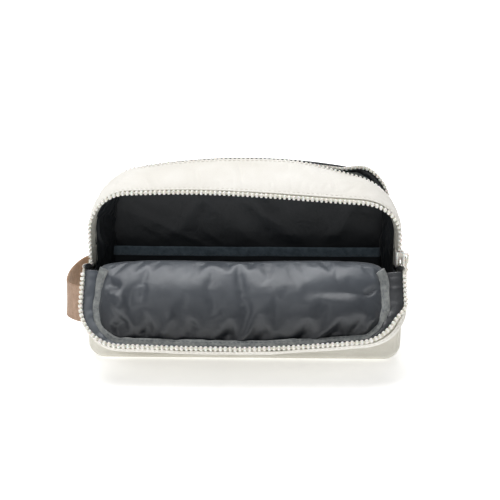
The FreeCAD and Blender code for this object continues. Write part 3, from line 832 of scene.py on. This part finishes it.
# ---- lower sides and base
def lower(name, lo, hi, n, replaces, seed):
    S = np.linspace(lo, hi, n)
    Y = np.linspace(-44.6, 44.6, 90)
    x, z, nx, nz = low(0.0, S[:, None])
    x, z, nx, nz = (np.broadcast_to(a, (n, 90)) for a in (x, z, nx, nz))
    y = np.broadcast_to(Y[None, :], x.shape)
    P = np.stack([x, y, z], -1)
    N = np.stack([nx, np.zeros_like(nx), nz], -1)
    ey = 1 - np.clip(np.abs(y) / 44.6, 0, 1) ** 5
    side = np.abs(N[..., 0])
    w = side * (1.7 * ey * np.sin(np.clip(z / 71, 0, 1) * math.pi) + ey * 0.9 * fbm(P, (30, 30, 40), seed) - ey * 1.0 * ridged(P, (30, 34, 26), seed + 4))
    w = w - 1.5 * np.clip((np.abs(y) - 42.4) / 2.2, 0, 1) ** 2
    w = w - (1 - side) * 0.5 * ey * (0.6 + 0.5 * fbm(P, (40, 26, 40), seed + 9))
    w = w - 3.4 * np.clip(-N[..., 2], 0, 1) * np.clip((np.abs(y) - 37.6) / 7, 0, 1) ** 2.4
    P = P + N * w[..., None]
    P[..., 2] = np.maximum(P[..., 2], 0.02)
    return sheet_obj(name, P, M_OUT2, 1.0, away=(0, 0, 45), body="bag", replaces=replaces)


for o in (lower("side_wall_left", 0.0, 0.205, 100, ("left_side_panel", "left_side_foam"), 31),
          lower("side_wall_right", 0.795, 1.0, 100, ("right_side_panel", "right_side_foam"), 37),
          lower("base_cloth", 0.195, 0.805, 120, ("base_panel", "base_board"), 43)):
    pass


# ---- front and back outer panels: one cloth each, from the base up to the zipper, bending at the fold
def outer_panel(name, side, replaces, seed):
    eta = np.linspace(-1, 1, 170)
    x = (W - 0.05) * np.sin(eta * math.pi / 2)
    zl, zt = zlow(x) + 3.0, ztop(x, side * 45.0, 0.0)
    v = np.concatenate([np.linspace(0, 1, 50, endpoint=False)[:, None] * [1, 0, 0], np.linspace(0, 1, 22, endpoint=False)[:, None] * [0, 1, 0] + [1, 0, 0],
                        np.linspace(0, 1, 52)[:, None] * [0, 0, 1] + [1, 1, 0]])
    a, b = 66.5, 75.0
    z = zl[:, None] + (a - zl[:, None]) * v[None, :, 0] + (b - a) * v[None, :, 1] + (zt[:, None] - b) * v[None, :, 2]
    X = np.broadcast_to(x[:, None], z.shape)
    d = np.minimum(np.minimum(z - zl[:, None], zt[:, None] - z), (W - np.abs(X)))
    d = np.maximum(d, 0)
    fold = 1 - np.exp(-((z - ZF) / 7.0) ** 2)
    P = np.stack([X, np.full_like(z, side * 45.2), z], -1)
    bul = 2.1 * (1 - np.exp(-d / 13)) * fold
    ed = 1 - np.exp(-d / 7)
    bul = bul + ed * fold * (0.9 * fbm(P, (52, 30, 36), seed) - 0.9 * ridged(P, (46, 40, 30), seed + 3))
    bul = bul - 1.5 * np.clip(1 - d / 2.2, 0, 1) ** 2 - 0.4 * np.exp(-((d - 3.6) / 0.8) ** 2)
    P[..., 1] += side * bul
    P = turn(slump(P, side), side, smooth((z - 69.3) / 3.6))
    ob = sheet_obj(name, P, M_OUT2, 1.0, away=(0, 0, 68), body=None, replaces=replaces)
    if side < 0:
        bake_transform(ob)
    else:
        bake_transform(ob)
    return ob


outer_panel("front_outer_panel", -1, ("front_lower_panel", "front_flap_panel"), 51)
outer_panel("back_outer_panel", 1, ("back_lower_panel", "back_flap_panel"), 57)


# ---- the flaps' side strips
def flap_strip(name, side, body, replaces, seed):
    S = s_even(300, 0.0, 1.0, z0=72.0)
    Y = np.linspace(45.0, 37.4, 16)
    P, N = band_grid(S, side * Y, 0.0, 72.0)
    q = np.abs(P[..., 1])
    w = 0.5 * np.sin(np.clip((q - 37.4) / 7.6, 0, 1) * math.pi) + 0.35 * fbm(P, (22, 10, 22), seed) - 0.35 * np.exp(-((q - 39.4) / 0.7) ** 2)
    w = w - 1.5 * np.clip((q - 43.2) / 1.8, 0, 1) ** 2
    G = P + N * w[..., None]
    ob = sheet_obj(name, turn(slump(G, side), side), M_OUT, 1.0, away=turn(np.array([[0, side * 40.0, 90.0]]), side)[0], body=body, replaces=replaces)
    return ob


flap_strip("front_flap_side_strip", -1, "front_flap", ("front_flap_gusset",), 61)
flap_strip("back_flap_side_strip", 1, "back_flap", ("back_flap_gusset",), 67)


def bind_off(S, y):
    """How far in from the outline the seam binding lies: more at the sides than along the far edge."""
    x, z, nx, nz = arch(y, 0.0, S, 72.2)
    side = np.abs(nx) ** 1.6
    return 5.4 + side * np.where(x < 0, 8.0, 10.0)


def flap_inner(side, body, pre):
    S = s_even(420, 0.0, 1.0, z0=72.2)
    q = np.linspace(0, 1, 22)
    Y = 35.5 + 4.1 * q
    bo = bind_off(S, side * 38.5)[:, None]
    off = 2.3 + (bo - 1.6) * q[None, :] ** 0.9
    x, z, nx, nz = arch((side * Y)[None, :], off, S[:, None], 72.2)
    P = np.stack([x, np.broadcast_to((side * Y)[None, :], x.shape), z], -1)
    arc = np.linspace(0, 1, 420)[:, None] * 560.0
    puck = 0.55 * np.sin(arc / 2.9 + 3 * vnoise(np.stack([arc, 0 * arc, 0 * arc], -1) / 19.0, 71)[..., None].reshape(arc.shape)) + 0.8 * fbm(np.stack([arc + 0 * q, 9 * q + 0 * arc, 0 * arc + 0 * q], -1), (11, 9, 1), 73)
    env = np.sin(np.clip(q, 0, 1) * math.pi)[None, :]
    P[..., 1] -= side * env * (1.3 + 0.45 * puck)
    mid = turn(np.array([[0, side * 20.0, 88.0]]), side)[0]
    ob = sheet_obj(pre + "_strip_lining", turn(slump(P, side), side), M_PAD, 0.45, toward=mid, body=body, replaces=(pre + "_gusset_lining",))
    S = s_even(620, 0.0, 1.0, z0=72.4)
    x, z, nx, nz = arch(side * 38.6, bind_off(S, side * 38.5), S, 72.4)
    Q = np.stack([x, np.full_like(x, side * 37.4), z], -1)
    Q[:, 1] -= side * 0.9 * vnoise(Q / 13.0, 75)
    Q[:, 0] -= 1.1 * nx * vnoise(Q / 11.0, 79)
    h = Q[:, 2] - 72.4
    curl = np.clip(1 - h / 9.0, 0, 1) ** 2
    Q[:, 1] -= side * 4.6 * curl
    Q[:, 0] -= np.sign(Q[:, 0]) * 3.5 * curl
    Q = turn(slump(Q, side), side)
    nrm = turn(np.array([[0, side * 30.0, ZF], [0, side * 40.0, ZF]]), side)
    nrm = (nrm[0] - nrm[1]) / 10
    ax = np.stack([nx, 0 * nx, nz], -1)
    tw = 0.28 * vnoise(Q / 17.0, 81)[:, None] + 0.10
    inw = turn(np.concatenate([[[0, 0, 0]], -ax]) + [0, side * YF, ZF], side)
    inw = inw[1:] - inw[0]
    nv = nrm[None] * np.cos(tw) + inw * np.sin(tw)
    tube(pre + "_seam_binding", Q, 3.4 + 0.35 * vnoise(Q / 6.0, 83), M_BIND, body, sides=18, squash_=0.36, normal=nv, replaces=(pre + "_binding",))
    edge_ = np.cross(nv, np.gradient(Q, axis=0)); edge_ /= np.linalg.norm(edge_, axis=1, keepdims=True)
    stitches(pre + "_binding_stitches", [(Q + nv * 1.22 + edge_ * 1.4 * (1 if side < 0 else -1), nv)], M_THREAD_G, body, length=2.2, gap=1.1, radius=0.2)


flap_inner(-1, "front_flap", "front_flap")
flap_inner(1, "back_flap", "back_flap")


# ---- small webs of cloth at the ends of the front fold, between the band and the flap's side strip
def web(name, sx, side, mat, off, thick):
    A = 145.0 if side < 0 else 11.0
    ph = np.radians(np.linspace(0, A, 34))
    sag = np.sin(np.linspace(0, math.pi, 34)) * (1 if side < 0 else 0.1)
    R = 15.0 * (1 - 0.66 * sag)
    q = np.linspace(0.06, 1, 16)
    r = R[:, None] * q[None, :]
    x = sx * (W - off - 3.2 * sag[:, None] * q[None, :] ** 1.5 * np.ones_like(r))
    y = side * YF - side * r * np.cos(ph)[:, None]
    z = ZF + r * np.sin(ph)[:, None]
    P = np.stack([x, y, z], -1)
    P[..., 0] += 0.35 * fbm(P, (7, 7, 7), 161)
    ob = sheet_obj(name, P, mat, thick, away=(0, side * 45.0, 75.0), body=None, replaces=())
    if side < 0:
        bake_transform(ob)
    else:
        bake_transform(ob)


for sx, nm in ((-1, "left"), (1, "right")):
    web("front_fold_web_" + nm, sx, -1, M_OUT, 0.6, 0.6)
    web("front_fold_web_lining_" + nm, sx, -1, M_LIN, 2.6, 0.45)


# ---- front wall lining: up inside the front wall, over the padded roll and out over the folded-down flap
def catmull(C, n):
    C = np.asarray(C, float)          # (k, ..., 2)
    k = len(C)
    t = np.linspace(0, k - 1, n)
    i = np.minimum(t.astype(int), k - 2)
    f = (t - i).reshape((-1,) + (1,) * (C.ndim - 1))
    p0, p1, p2, p3 = C[np.maximum(i - 1, 0)], C[i], C[i + 1], C[np.minimum(i + 2, k - 1)]
    return 0.5 * ((2 * p1) + (-p0 + p2) * f + (2 * p0 - 5 * p1 + 4 * p2 - p3) * f ** 2 + (-p0 + 3 * p1 - 3 * p2 + p3) * f ** 3)


def ridge(x, h, a, b, amp, width, taper=0.35):
    """A fold from a to b in the pad's own plane, with soft ends."""
    ax, ah = a; bx, bh = b
    L2 = (bx - ax) ** 2 + (bh - ah) ** 2
    t = ((x - ax) * (bx - ax) + (h - ah) * (bh - ah)) / L2
    tc = np.clip(t, 0, 1)
    d = np.hypot(x - ax - tc * (bx - ax), h - ah - tc * (bh - ah))
    end = smooth(np.clip(tc / taper, 0, 1)) * smooth(np.clip((1 - tc) / taper, 0, 1)) if taper > 0 else 1
    return amp * np.exp(-(d / width) ** 2) * end


def front_pad():
    n, m = 210, 190
    eta = np.linspace(-1, 1, n)
    x = 115.4 * (0.35 * eta + 0.65 * np.sin(eta * math.pi / 2))
    hmax = ztop(np.clip(x * 0.93, -108, 108), -40.0, 4.4) - ZF
    bx = np.clip(1 - (np.abs(x) / 114.5) ** 9, 0, 1) ** 0.6
    rows = []

    def rest(full, flat):
        f, g = np.array(full, float), np.array(flat, float)
        return g[None, :] + (f - g)[None, :] * bx[:, None]
    rows.append(rest((-40.3, 5.0), (-40.3, 5.0)))
    rows.append(rest((-39.6, 28.0), (-40.2, 28.0)))
    rows.append(rest((-38.0, 52.0), (-40.0, 50.0)))
    rows.append(rest((-35.6, 67.0), (-39.4, 64.0)))
    rows.append(rest((-36.6, 76.0), (-40.2, 71.5)))
    rows.append(rest((-42.6, 79.6), (-44.0, 74.4)))
    rows.append(rest((-50.6, 77.4), (-50.0, 72.2)))

    def on_flap(h, b):
        dy, dz = 5.0 + b * bx, h
        P = slump(np.stack([x, -YF + dy, ZF + dz], -1), -1)
        P = turn(P, -1)
        return P[:, 1:]
    top = hmax
    for q, b in ((0.20, 8.0), (0.38, 10.2), (0.55, 10.4), (0.71, 8.4), (0.85, 4.6), (0.95, 0.2), (1.0, -3.2)):
        rows.append(on_flap(np.maximum(top * q, 12.0 * (q / 0.2) if q < 0.3 else top * q), b))
    C = np.stack(rows)
    YZ = catmull(C, m)                                         # (m, n, 2)
    t = np.linspace(0, 13, m)
    nar = smooth(np.clip((t - 2.2) / 2.2, 0, 1))
    X = x[None, :] * (1 - nar[:, None] * np.where(x < 0, 1 - 108.5 / 115.4, 1 - 104.5 / 115.4)[None, :])
    P = np.stack([X, YZ[..., 0], YZ[..., 1]], -1)
    return P, x


PADP, PADX = front_pad()
Nn = grid_normals(PADP)
if np.mean(Nn[..., 1]) > 0:
    Nn = -Nn
t = np.linspace(0, 13, PADP.shape[0])[:, None] * np.ones((1, PADP.shape[1]))
hh = (t - 5.0) * 8.0                                           # runs from the roll (0) to the far edge (about 64)
X = PADP[..., 0]
edge = np.clip((106 - np.abs(X)) / 10, 0, 1) * np.clip((13 - t) / 1.5, 0, 1) * np.clip(t / 2, 0, 1)
w = 0.9 * fbm(np.stack([X, hh, 0 * X], -1), (60, 34, 1), 91, 2)
Xw = X + 7.0 * fbm(np.stack([X, hh, 0 * X], -1), (46, 38, 1), 93, 2)
Hw = hh + 7.0 * fbm(np.stack([X, hh, 0 * X], -1), (40, 34, 1), 95, 2)
w -= 0.7 * ridged(np.stack([X + 0.8 * hh, hh, 0 * X], -1), (52, 40, 1), 97, 1)
for a, b, amp, wd in (((30, 10), (104, 10), 2.2, 8.0), ((34, 22), (112, 19), -2.8, 7.5), ((22, 36), (112, 31), 2.4, 9.0), ((48, 50), (100, 46), -3.2, 8.0),
                      ((40, 60), (72, 38), 3.2, 4.0), ((24, 62), (56, 42), -3.0, 4.0), ((-10, 60), (16, 37), 3.0, 3.8), ((-24, 60), (2, 40), -2.6, 3.8),
                      ((6, 58), (30, 44), -2.2, 3.6), ((-98, 38), (-86, 30), 3.2, 6.0), ((-104, 52), (-84, 44), -3.6, 5.0), ((-92, 27), (-66, 30), -2.6, 8.0),
                      ((-62, 58), (-48, 34), 2.4, 5.0), ((-80, 60), (-66, 42), -2.4, 4.4), ((-44, 58), (-34, 40), -2.2, 4.0), ((80, 56), (100, 36), 3.2, 4.6),
                      ((-104, 14), (-88, 22), -2.4, 3.6), ((-104, 24), (-90, 30), 1.8, 3.0), ((100, 10), (86, 22), -2.0, 3.4), ((-40, 24), (24, 26), -1.6, 8.0),
                      ((-70, 40), (30, 46), -1.4, 9.0)):
    w = w + ridge(Xw, Hw, a, b, amp, wd)
PADP = PADP + Nn * (w * edge)[..., None]
pin = np.zeros(PADP.shape[:2])
pin[:, :3] = pin[:, -3:] = 1.0
pin[-3:] = 1.0
pin[t[:, 0] < 5.4] = 1.0
PADP = relax(PADP, pin, (0, -160, 150), grow=0.022, pressure=1.0, cap=4.0, bend=1.2)
pad = sheet_obj("front_wall_lining", PADP, M_PAD, 0.6, toward=(0, -120, 150), body=None,
                replaces=("front_lower_lining", "front_lower_foam", "front_fold_roll", "front_flap_lining", "front_flap_foam"))
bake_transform(pad)


# ---- back wall lining, from the compartment's floor up to the back flap's edge
def back_pad():
    n, m = 150, 130
    eta = np.linspace(-1, 1, n)
    x = 115.4 * np.sin(eta * math.pi / 2) * 0.65 + 0.35 * 115.4 * eta
    zt = ztop(x, 41.0, 4.6)
    v = np.linspace(0, 1, m)
    z = 5.0 + (zt[:, None] - 5.0) * v[None, :]
    X = np.broadcast_to(x[:, None], z.shape)
    d = np.minimum(np.minimum(zt[:, None] - z, 116 - np.abs(X)), z - 4)
    P = np.stack([X, np.full_like(z, 40.6), z], -1)
    b = 3.6 * (1 - np.exp(-np.maximum(d, 0) / 9)) + 3.4 * np.exp(-((z - 66) / 8) ** 2) * (1 - np.exp(-np.maximum(d, 0) / 9))
    b = b + (1 - np.exp(-np.maximum(d, 0) / 6)) * (1.0 * fbm(P, (40, 30, 30), 101) - 1.2 * ridged(P, (36, 30, 26), 103))
    P[..., 1] -= b
    return turn(P, 1, smooth((z - 69.5) / 4.0))


bp = sheet_obj("back_wall_lining", back_pad(), M_LIN, 0.6, toward=(0, -100, 80), body=None,
               replaces=("back_lower_lining", "back_lower_foam", "back_fold_roll", "back_flap_lining", "back_flap_foam"))
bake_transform(bp)


# ---- inside linings
def inside(name, y0, y1, replaces, seed, bulge_left, bulge_right, bulge_top):
    S = s_even(260, z0=60.0)
    Y = np.linspace(y0, y1, 60)
    P, N = band_grid(S, Y, 2.5, 60.0)
    P = P - N * (2.0 * np.abs(N[..., 0]) ** 2)[..., None]
    q = (Y - y0) / (y1 - y0)
    side = np.clip(np.abs(N[..., 0]), 0, 1)
    left = (P[..., 0] < 0)
    inw = (np.where(left, bulge_left, bulge_right) * side + bulge_top * (1 - side)) * smooth(q)[None, :] ** 0.8
    ends = smooth(q / 0.12)[None, :]
    wr = 1.6 * fbm(P, (16, 13, 24), seed, 3) + 2.6 * ridged(P + 0.5 * P[..., [2, 0, 1]], (22, 13, 30), seed + 5, 2)
    G = P - N * (inw + ends * wr * (0.45 + 0.55 * side))[..., None]
    ob = sheet_obj(name, slump(G), M_LIN, 0.45, toward=(0, (y0 + y1) / 2, 85), body="bag", replaces=replaces)


inside("front_compartment_lining", -21.2, 14.6, ("gusset_lining",), 111, 9.5, 4.5, 4.0)
inside("back_compartment_lining", 21.2, 15.4, (), 117, 2.0, 2.0, 2.0)


def lower_inside(name, y0, y1, replaces, seed):
    n = 200
    S = np.linspace(0, 1, n)
    Y = np.linspace(y0, y1, 40)
    x, z, nx, nz = low(4.4, S[:, None])
    x, z, nx, nz = (np.broadcast_to(a, (n, 40)) for a in (x, z, nx, nz))
    P = np.stack([x, np.broadcast_to(Y[None], x.shape), z], -1)
    N = np.stack([nx, np.zeros_like(nx), nz], -1)
    w = 0.8 + 0.9 * fbm(P, (20, 16, 20), seed) + 1.3 * ridged(P, (26, 18, 26), seed + 3)
    ob = sheet_obj(name, P - N * w[..., None], M_LIN, 0.45, toward=(0, (y0 + y1) / 2, 60), body="bag", replaces=replaces)


lower_inside("front_compartment_floor", -39.8, 13.6, ("left_side_lining", "right_side_lining", "base_lining"), 121)
lower_inside("back_compartment_floor", 39.8, 16.8, (), 127)


def divider(name, y, toward, replaces, seed):
    eta = np.linspace(-1, 1, 130)
    x = 116.2 * np.sin(eta * math.pi / 2) * 0.6 + 0.4 * 116.2 * eta
    zt, zl = ztop(x, 14.0, 3.8), zlow(x, 4.2) + 0.2
    v = np.linspace(0, 1, 110)
    z = zl[:, None] + (zt - zl)[:, None] * v[None]
    X = np.broadcast_to(x[:, None], z.shape)
    P = np.stack([X, np.full_like(z, y), z], -1)
    s = -1 if toward[1] < y else 1
    P[..., 1] += s * (1.6 * np.exp(-(((X - 20) + 0.9 * (z - 100)) / 11) ** 2) + 1.3 * np.exp(-(((X + 48) - 0.7 * (z - 100)) / 9) ** 2) + 1.5 * np.exp(-(((X - 74) - 0.5 * (z - 90)) / 8) ** 2)) * np.clip((zt[:, None] - z) / 6, 0, 1) * np.clip((z - 78) / 8, 0, 1)
    P[..., 1] += s * (0.5 + 0.6 * fbm(P, (46, 10, 30), seed) + 0.9 * ridged(P + 0.5 * P[..., [2, 1, 0]], (52, 10, 40), seed + 3)) * np.clip((zt[:, None] - z) / 6, 0, 1)
    ob = sheet_obj(name, slump(P), M_LIN, 0.6, toward=toward, body="bag", replaces=replaces)


divider("divider_face_front", 13.7, (0, -200, 80), ("divider_lining_front", "divider_board"), 131)
divider("divider_face_back", 16.5, (0, 200, 80), ("divider_lining_back",), 137)


# ---- slip pocket and its band
def pocket_y(x, z):
    P = np.stack([x, 0 * x, z], -1)
    e = smooth(np.clip((112.0 - np.abs(x)) / 5, 0, 1)) * smooth(np.clip((z - 5.0) / 5, 0, 1))
    return 13.4 - e * (6.3 + 0.7 * fbm(P, (60, 1, 40), 141) + 0.5 * ridged(P, (44, 1, 50), 143) * np.clip((72 - z) / 10, 0, 1))


x = 112.0 * np.linspace(-1, 1, 170)
z = np.linspace(4.9, 76.2, 70)
Z, X = np.meshgrid(z, x)
pk = sheet_obj("slip_pocket_panel", np.stack([X, pocket_y(X, Z), Z], -1), M_LIN, 0.5, toward=(0, -200, 60), body="bag", replaces=("slip_pocket",))
prof = np.array([(0.55, 69.3), (0.62, 70.2), (0.60, 73.0), (0.62, 75.6), (0.35, 76.5), (-0.3, 76.95), (-1.0, 76.5), (-1.25, 75.6), (-1.2, 73.0), (-1.2, 69.8)])
prof = catmull(prof, 40)
x = 111.4 * np.linspace(-1, 1, 200)
yb = pocket_y(x, np.full_like(x, 76.0))
G = np.stack([np.broadcast_to(x[:, None], (200, 40)), yb[:, None] - prof[None, :, 0], np.broadcast_to(prof[None, :, 1], (200, 40)) + (0.25 * fbm(np.stack([x, 0 * x, 0 * x], -1), 30, 147))[:, None]], -1)
pb = sheet_obj("pocket_band", G, M_PBIND, 0.3, toward=(0, -100, 90), body="bag", replaces=("pocket_binding",))
row = np.stack([x, yb - 0.62 - 0.1, np.full_like(x, 70.3)], -1)
stitches("pocket_band_stitches", [(row, np.tile([0, -1.0, 0], (200, 1)))], M_THREAD_G, "bag", length=2.1, gap=1.2, radius=0.2)


# ---- top-stitching on the outer cloth
def band_path(y, s0=0.015, s1=0.985):
    S = s_even(900, s0, s1)
    P, N = band_grid(S, np.array([y, y + 0.01]), 0.0)
    G = band_wave(P, N)
    return slump(G[:, 0]) + N[:, 0] * 0.05, N[:, 0]


stitches("band_topstitch", [band_path(-19.9), band_path(19.9)], M_THREAD, "bag")


def strip_path(side, y, seed):
    S = s_even(900, 0.02, 0.98, z0=71.4)
    P, N = band_grid(S, np.array([side * y, side * y + 0.01]), 0.0, 71.4)
    q = np.abs(P[..., 1])
    w = 0.5 * np.sin(np.clip((q - 37.4) / 7.6, 0, 1) * math.pi) + 0.35 * fbm(P, (22, 10, 22), seed) - 0.35 * np.exp(-((q - 39.4) / 0.7) ** 2)
    G = turn(slump((P + N * w[..., None])[:, 0], side), side)
    M = turn(np.concatenate([np.zeros((1, 3)) + [0, 0, 0], N[:, 0]]) * 1.0, side)
    M = M[1:] - M[0]
    return G + M * 0.05, M


for nm, sd, yy, seed in (("front_flap_topstitch", -1, 39.1, 61), ("back_flap_topstitch", 1, 39.1, 67)):
    stitches(nm, [strip_path(sd, yy, seed)], M_THREAD, "front_flap" if sd < 0 else "back_flap")


# ---- side handle of webbing
def handle():
    pts = np.array([(-120.1, -43.0), (-120.1, -39.0), (-127.1, -31.5), (-134.6, -20.5), (-137.1, -5.0), (-136.6, 11.0), (-131.6, 27.5), (-120.3, 40.5), (-120.1, 44.0)])
    C = catmull(pts, 130)
    V = np.linspace(-1, 1, 24)
    P = np.zeros((130, 24, 3))
    T = np.gradient(C, axis=0)
    T /= np.linalg.norm(T, axis=1, keepdims=True)
    out = np.stack([-T[:, 1], T[:, 0]], -1)
    if np.mean(out[:, 0]) > 0:
        out = -out
    L = np.linspace(0, 1, 130)
    hump = np.sin(L * math.pi)
    for j, v in enumerate(V):
        cup = -0.8 * (1 - v * v) * hump + 0.35 * fbm(np.stack([L * 100, np.full(130, v * 14), 0 * L], -1), (30, 14, 1), 151)
        lean = hump * v * 1.6
        P[:, j, 0] = C[:, 0] + out[:, 0] * (1.7 + cup + 5.0 * hump - lean * 0.5)
        P[:, j, 1] = C[:, 1] + out[:, 1] * (1.7 + cup + 1.6 * hump)
        P[:, j, 2] = 45.0 - 4.2 * hump + 5.0 * smooth((L - 0.35) / 0.5) + v * 14.0
    return P


HP = handle()
hs = sheet_obj("side_handle", HP, M_STRAP, 1.5, away=(-90, 0, 45), body="bag", replaces=("side_strap",))
edge_paths = []
tack = []
for i in (7, 122):
    for k in range(3):
        row = HP[i - 2 + 2 * k, 2:-2]
        tack.append((row + np.array([-0.1, 0, 0]), np.tile([-1.0, 0, 0], (len(row), 1))))
stitches("handle_tacks", tack, M_THREAD_T, "bag", length=1.5, gap=0.25, radius=0.28)
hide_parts("strap_bar_tacks")


# ---- sliders, pullers and stops: the CAD's own shapes with moulded edges
def moulded(node, mat, width, body, segs=3, angle=25):
    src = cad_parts[node]
    me = src.data.copy()
    ob = bpy.data.objects.new(node + "_moulded", me)
    scene.collection.objects.link(ob)
    me.materials.clear()
    me.materials.append(mat)
    bm = bmesh.new()
    bm.from_mesh(me)
    bmesh.ops.remove_doubles(bm, verts=bm.verts, dist=1e-6)
    bmesh.ops.dissolve_limit(bm, angle_limit=math.radians(3), verts=bm.verts, edges=bm.edges)
    bm.normal_update()
    sharp = [e for e in bm.edges if len(e.link_faces) == 2 and e.calc_face_angle(0) > math.radians(angle)]
    bmesh.ops.bevel(bm, geom=sharp, offset=width * 0.001, segments=segs, affect="EDGES", profile=0.5, clamp_overlap=True)
    bmesh.ops.triangulate(bm, faces=[f for f in bm.faces if len(f.verts) > 4])
    bmesh.ops.recalc_face_normals(bm, faces=bm.faces)
    bm.to_mesh(me)
    bm.free()
    me.polygons.foreach_set("use_smooth", [True] * len(me.polygons))
    me.update()
    finish_piece(ob, body, (node,))
    return ob


for pre in ("front", "back"):
    moulded(pre + "_slider", M_SLIDER, 0.30, pre + "_slider")
    moulded(pre + "_slider_bridge", M_SLIDER, 0.25, pre + "_slider")
    moulded(pre + "_puller_ring", M_WIRE, 0.05, pre + "_puller", segs=1, angle=60)
    moulded(pre + "_puller_tab", M_TAB, 0.28, pre + "_puller")
    moulded(pre + "_zip_stops", M_TOOTH, 0.3, "bag")
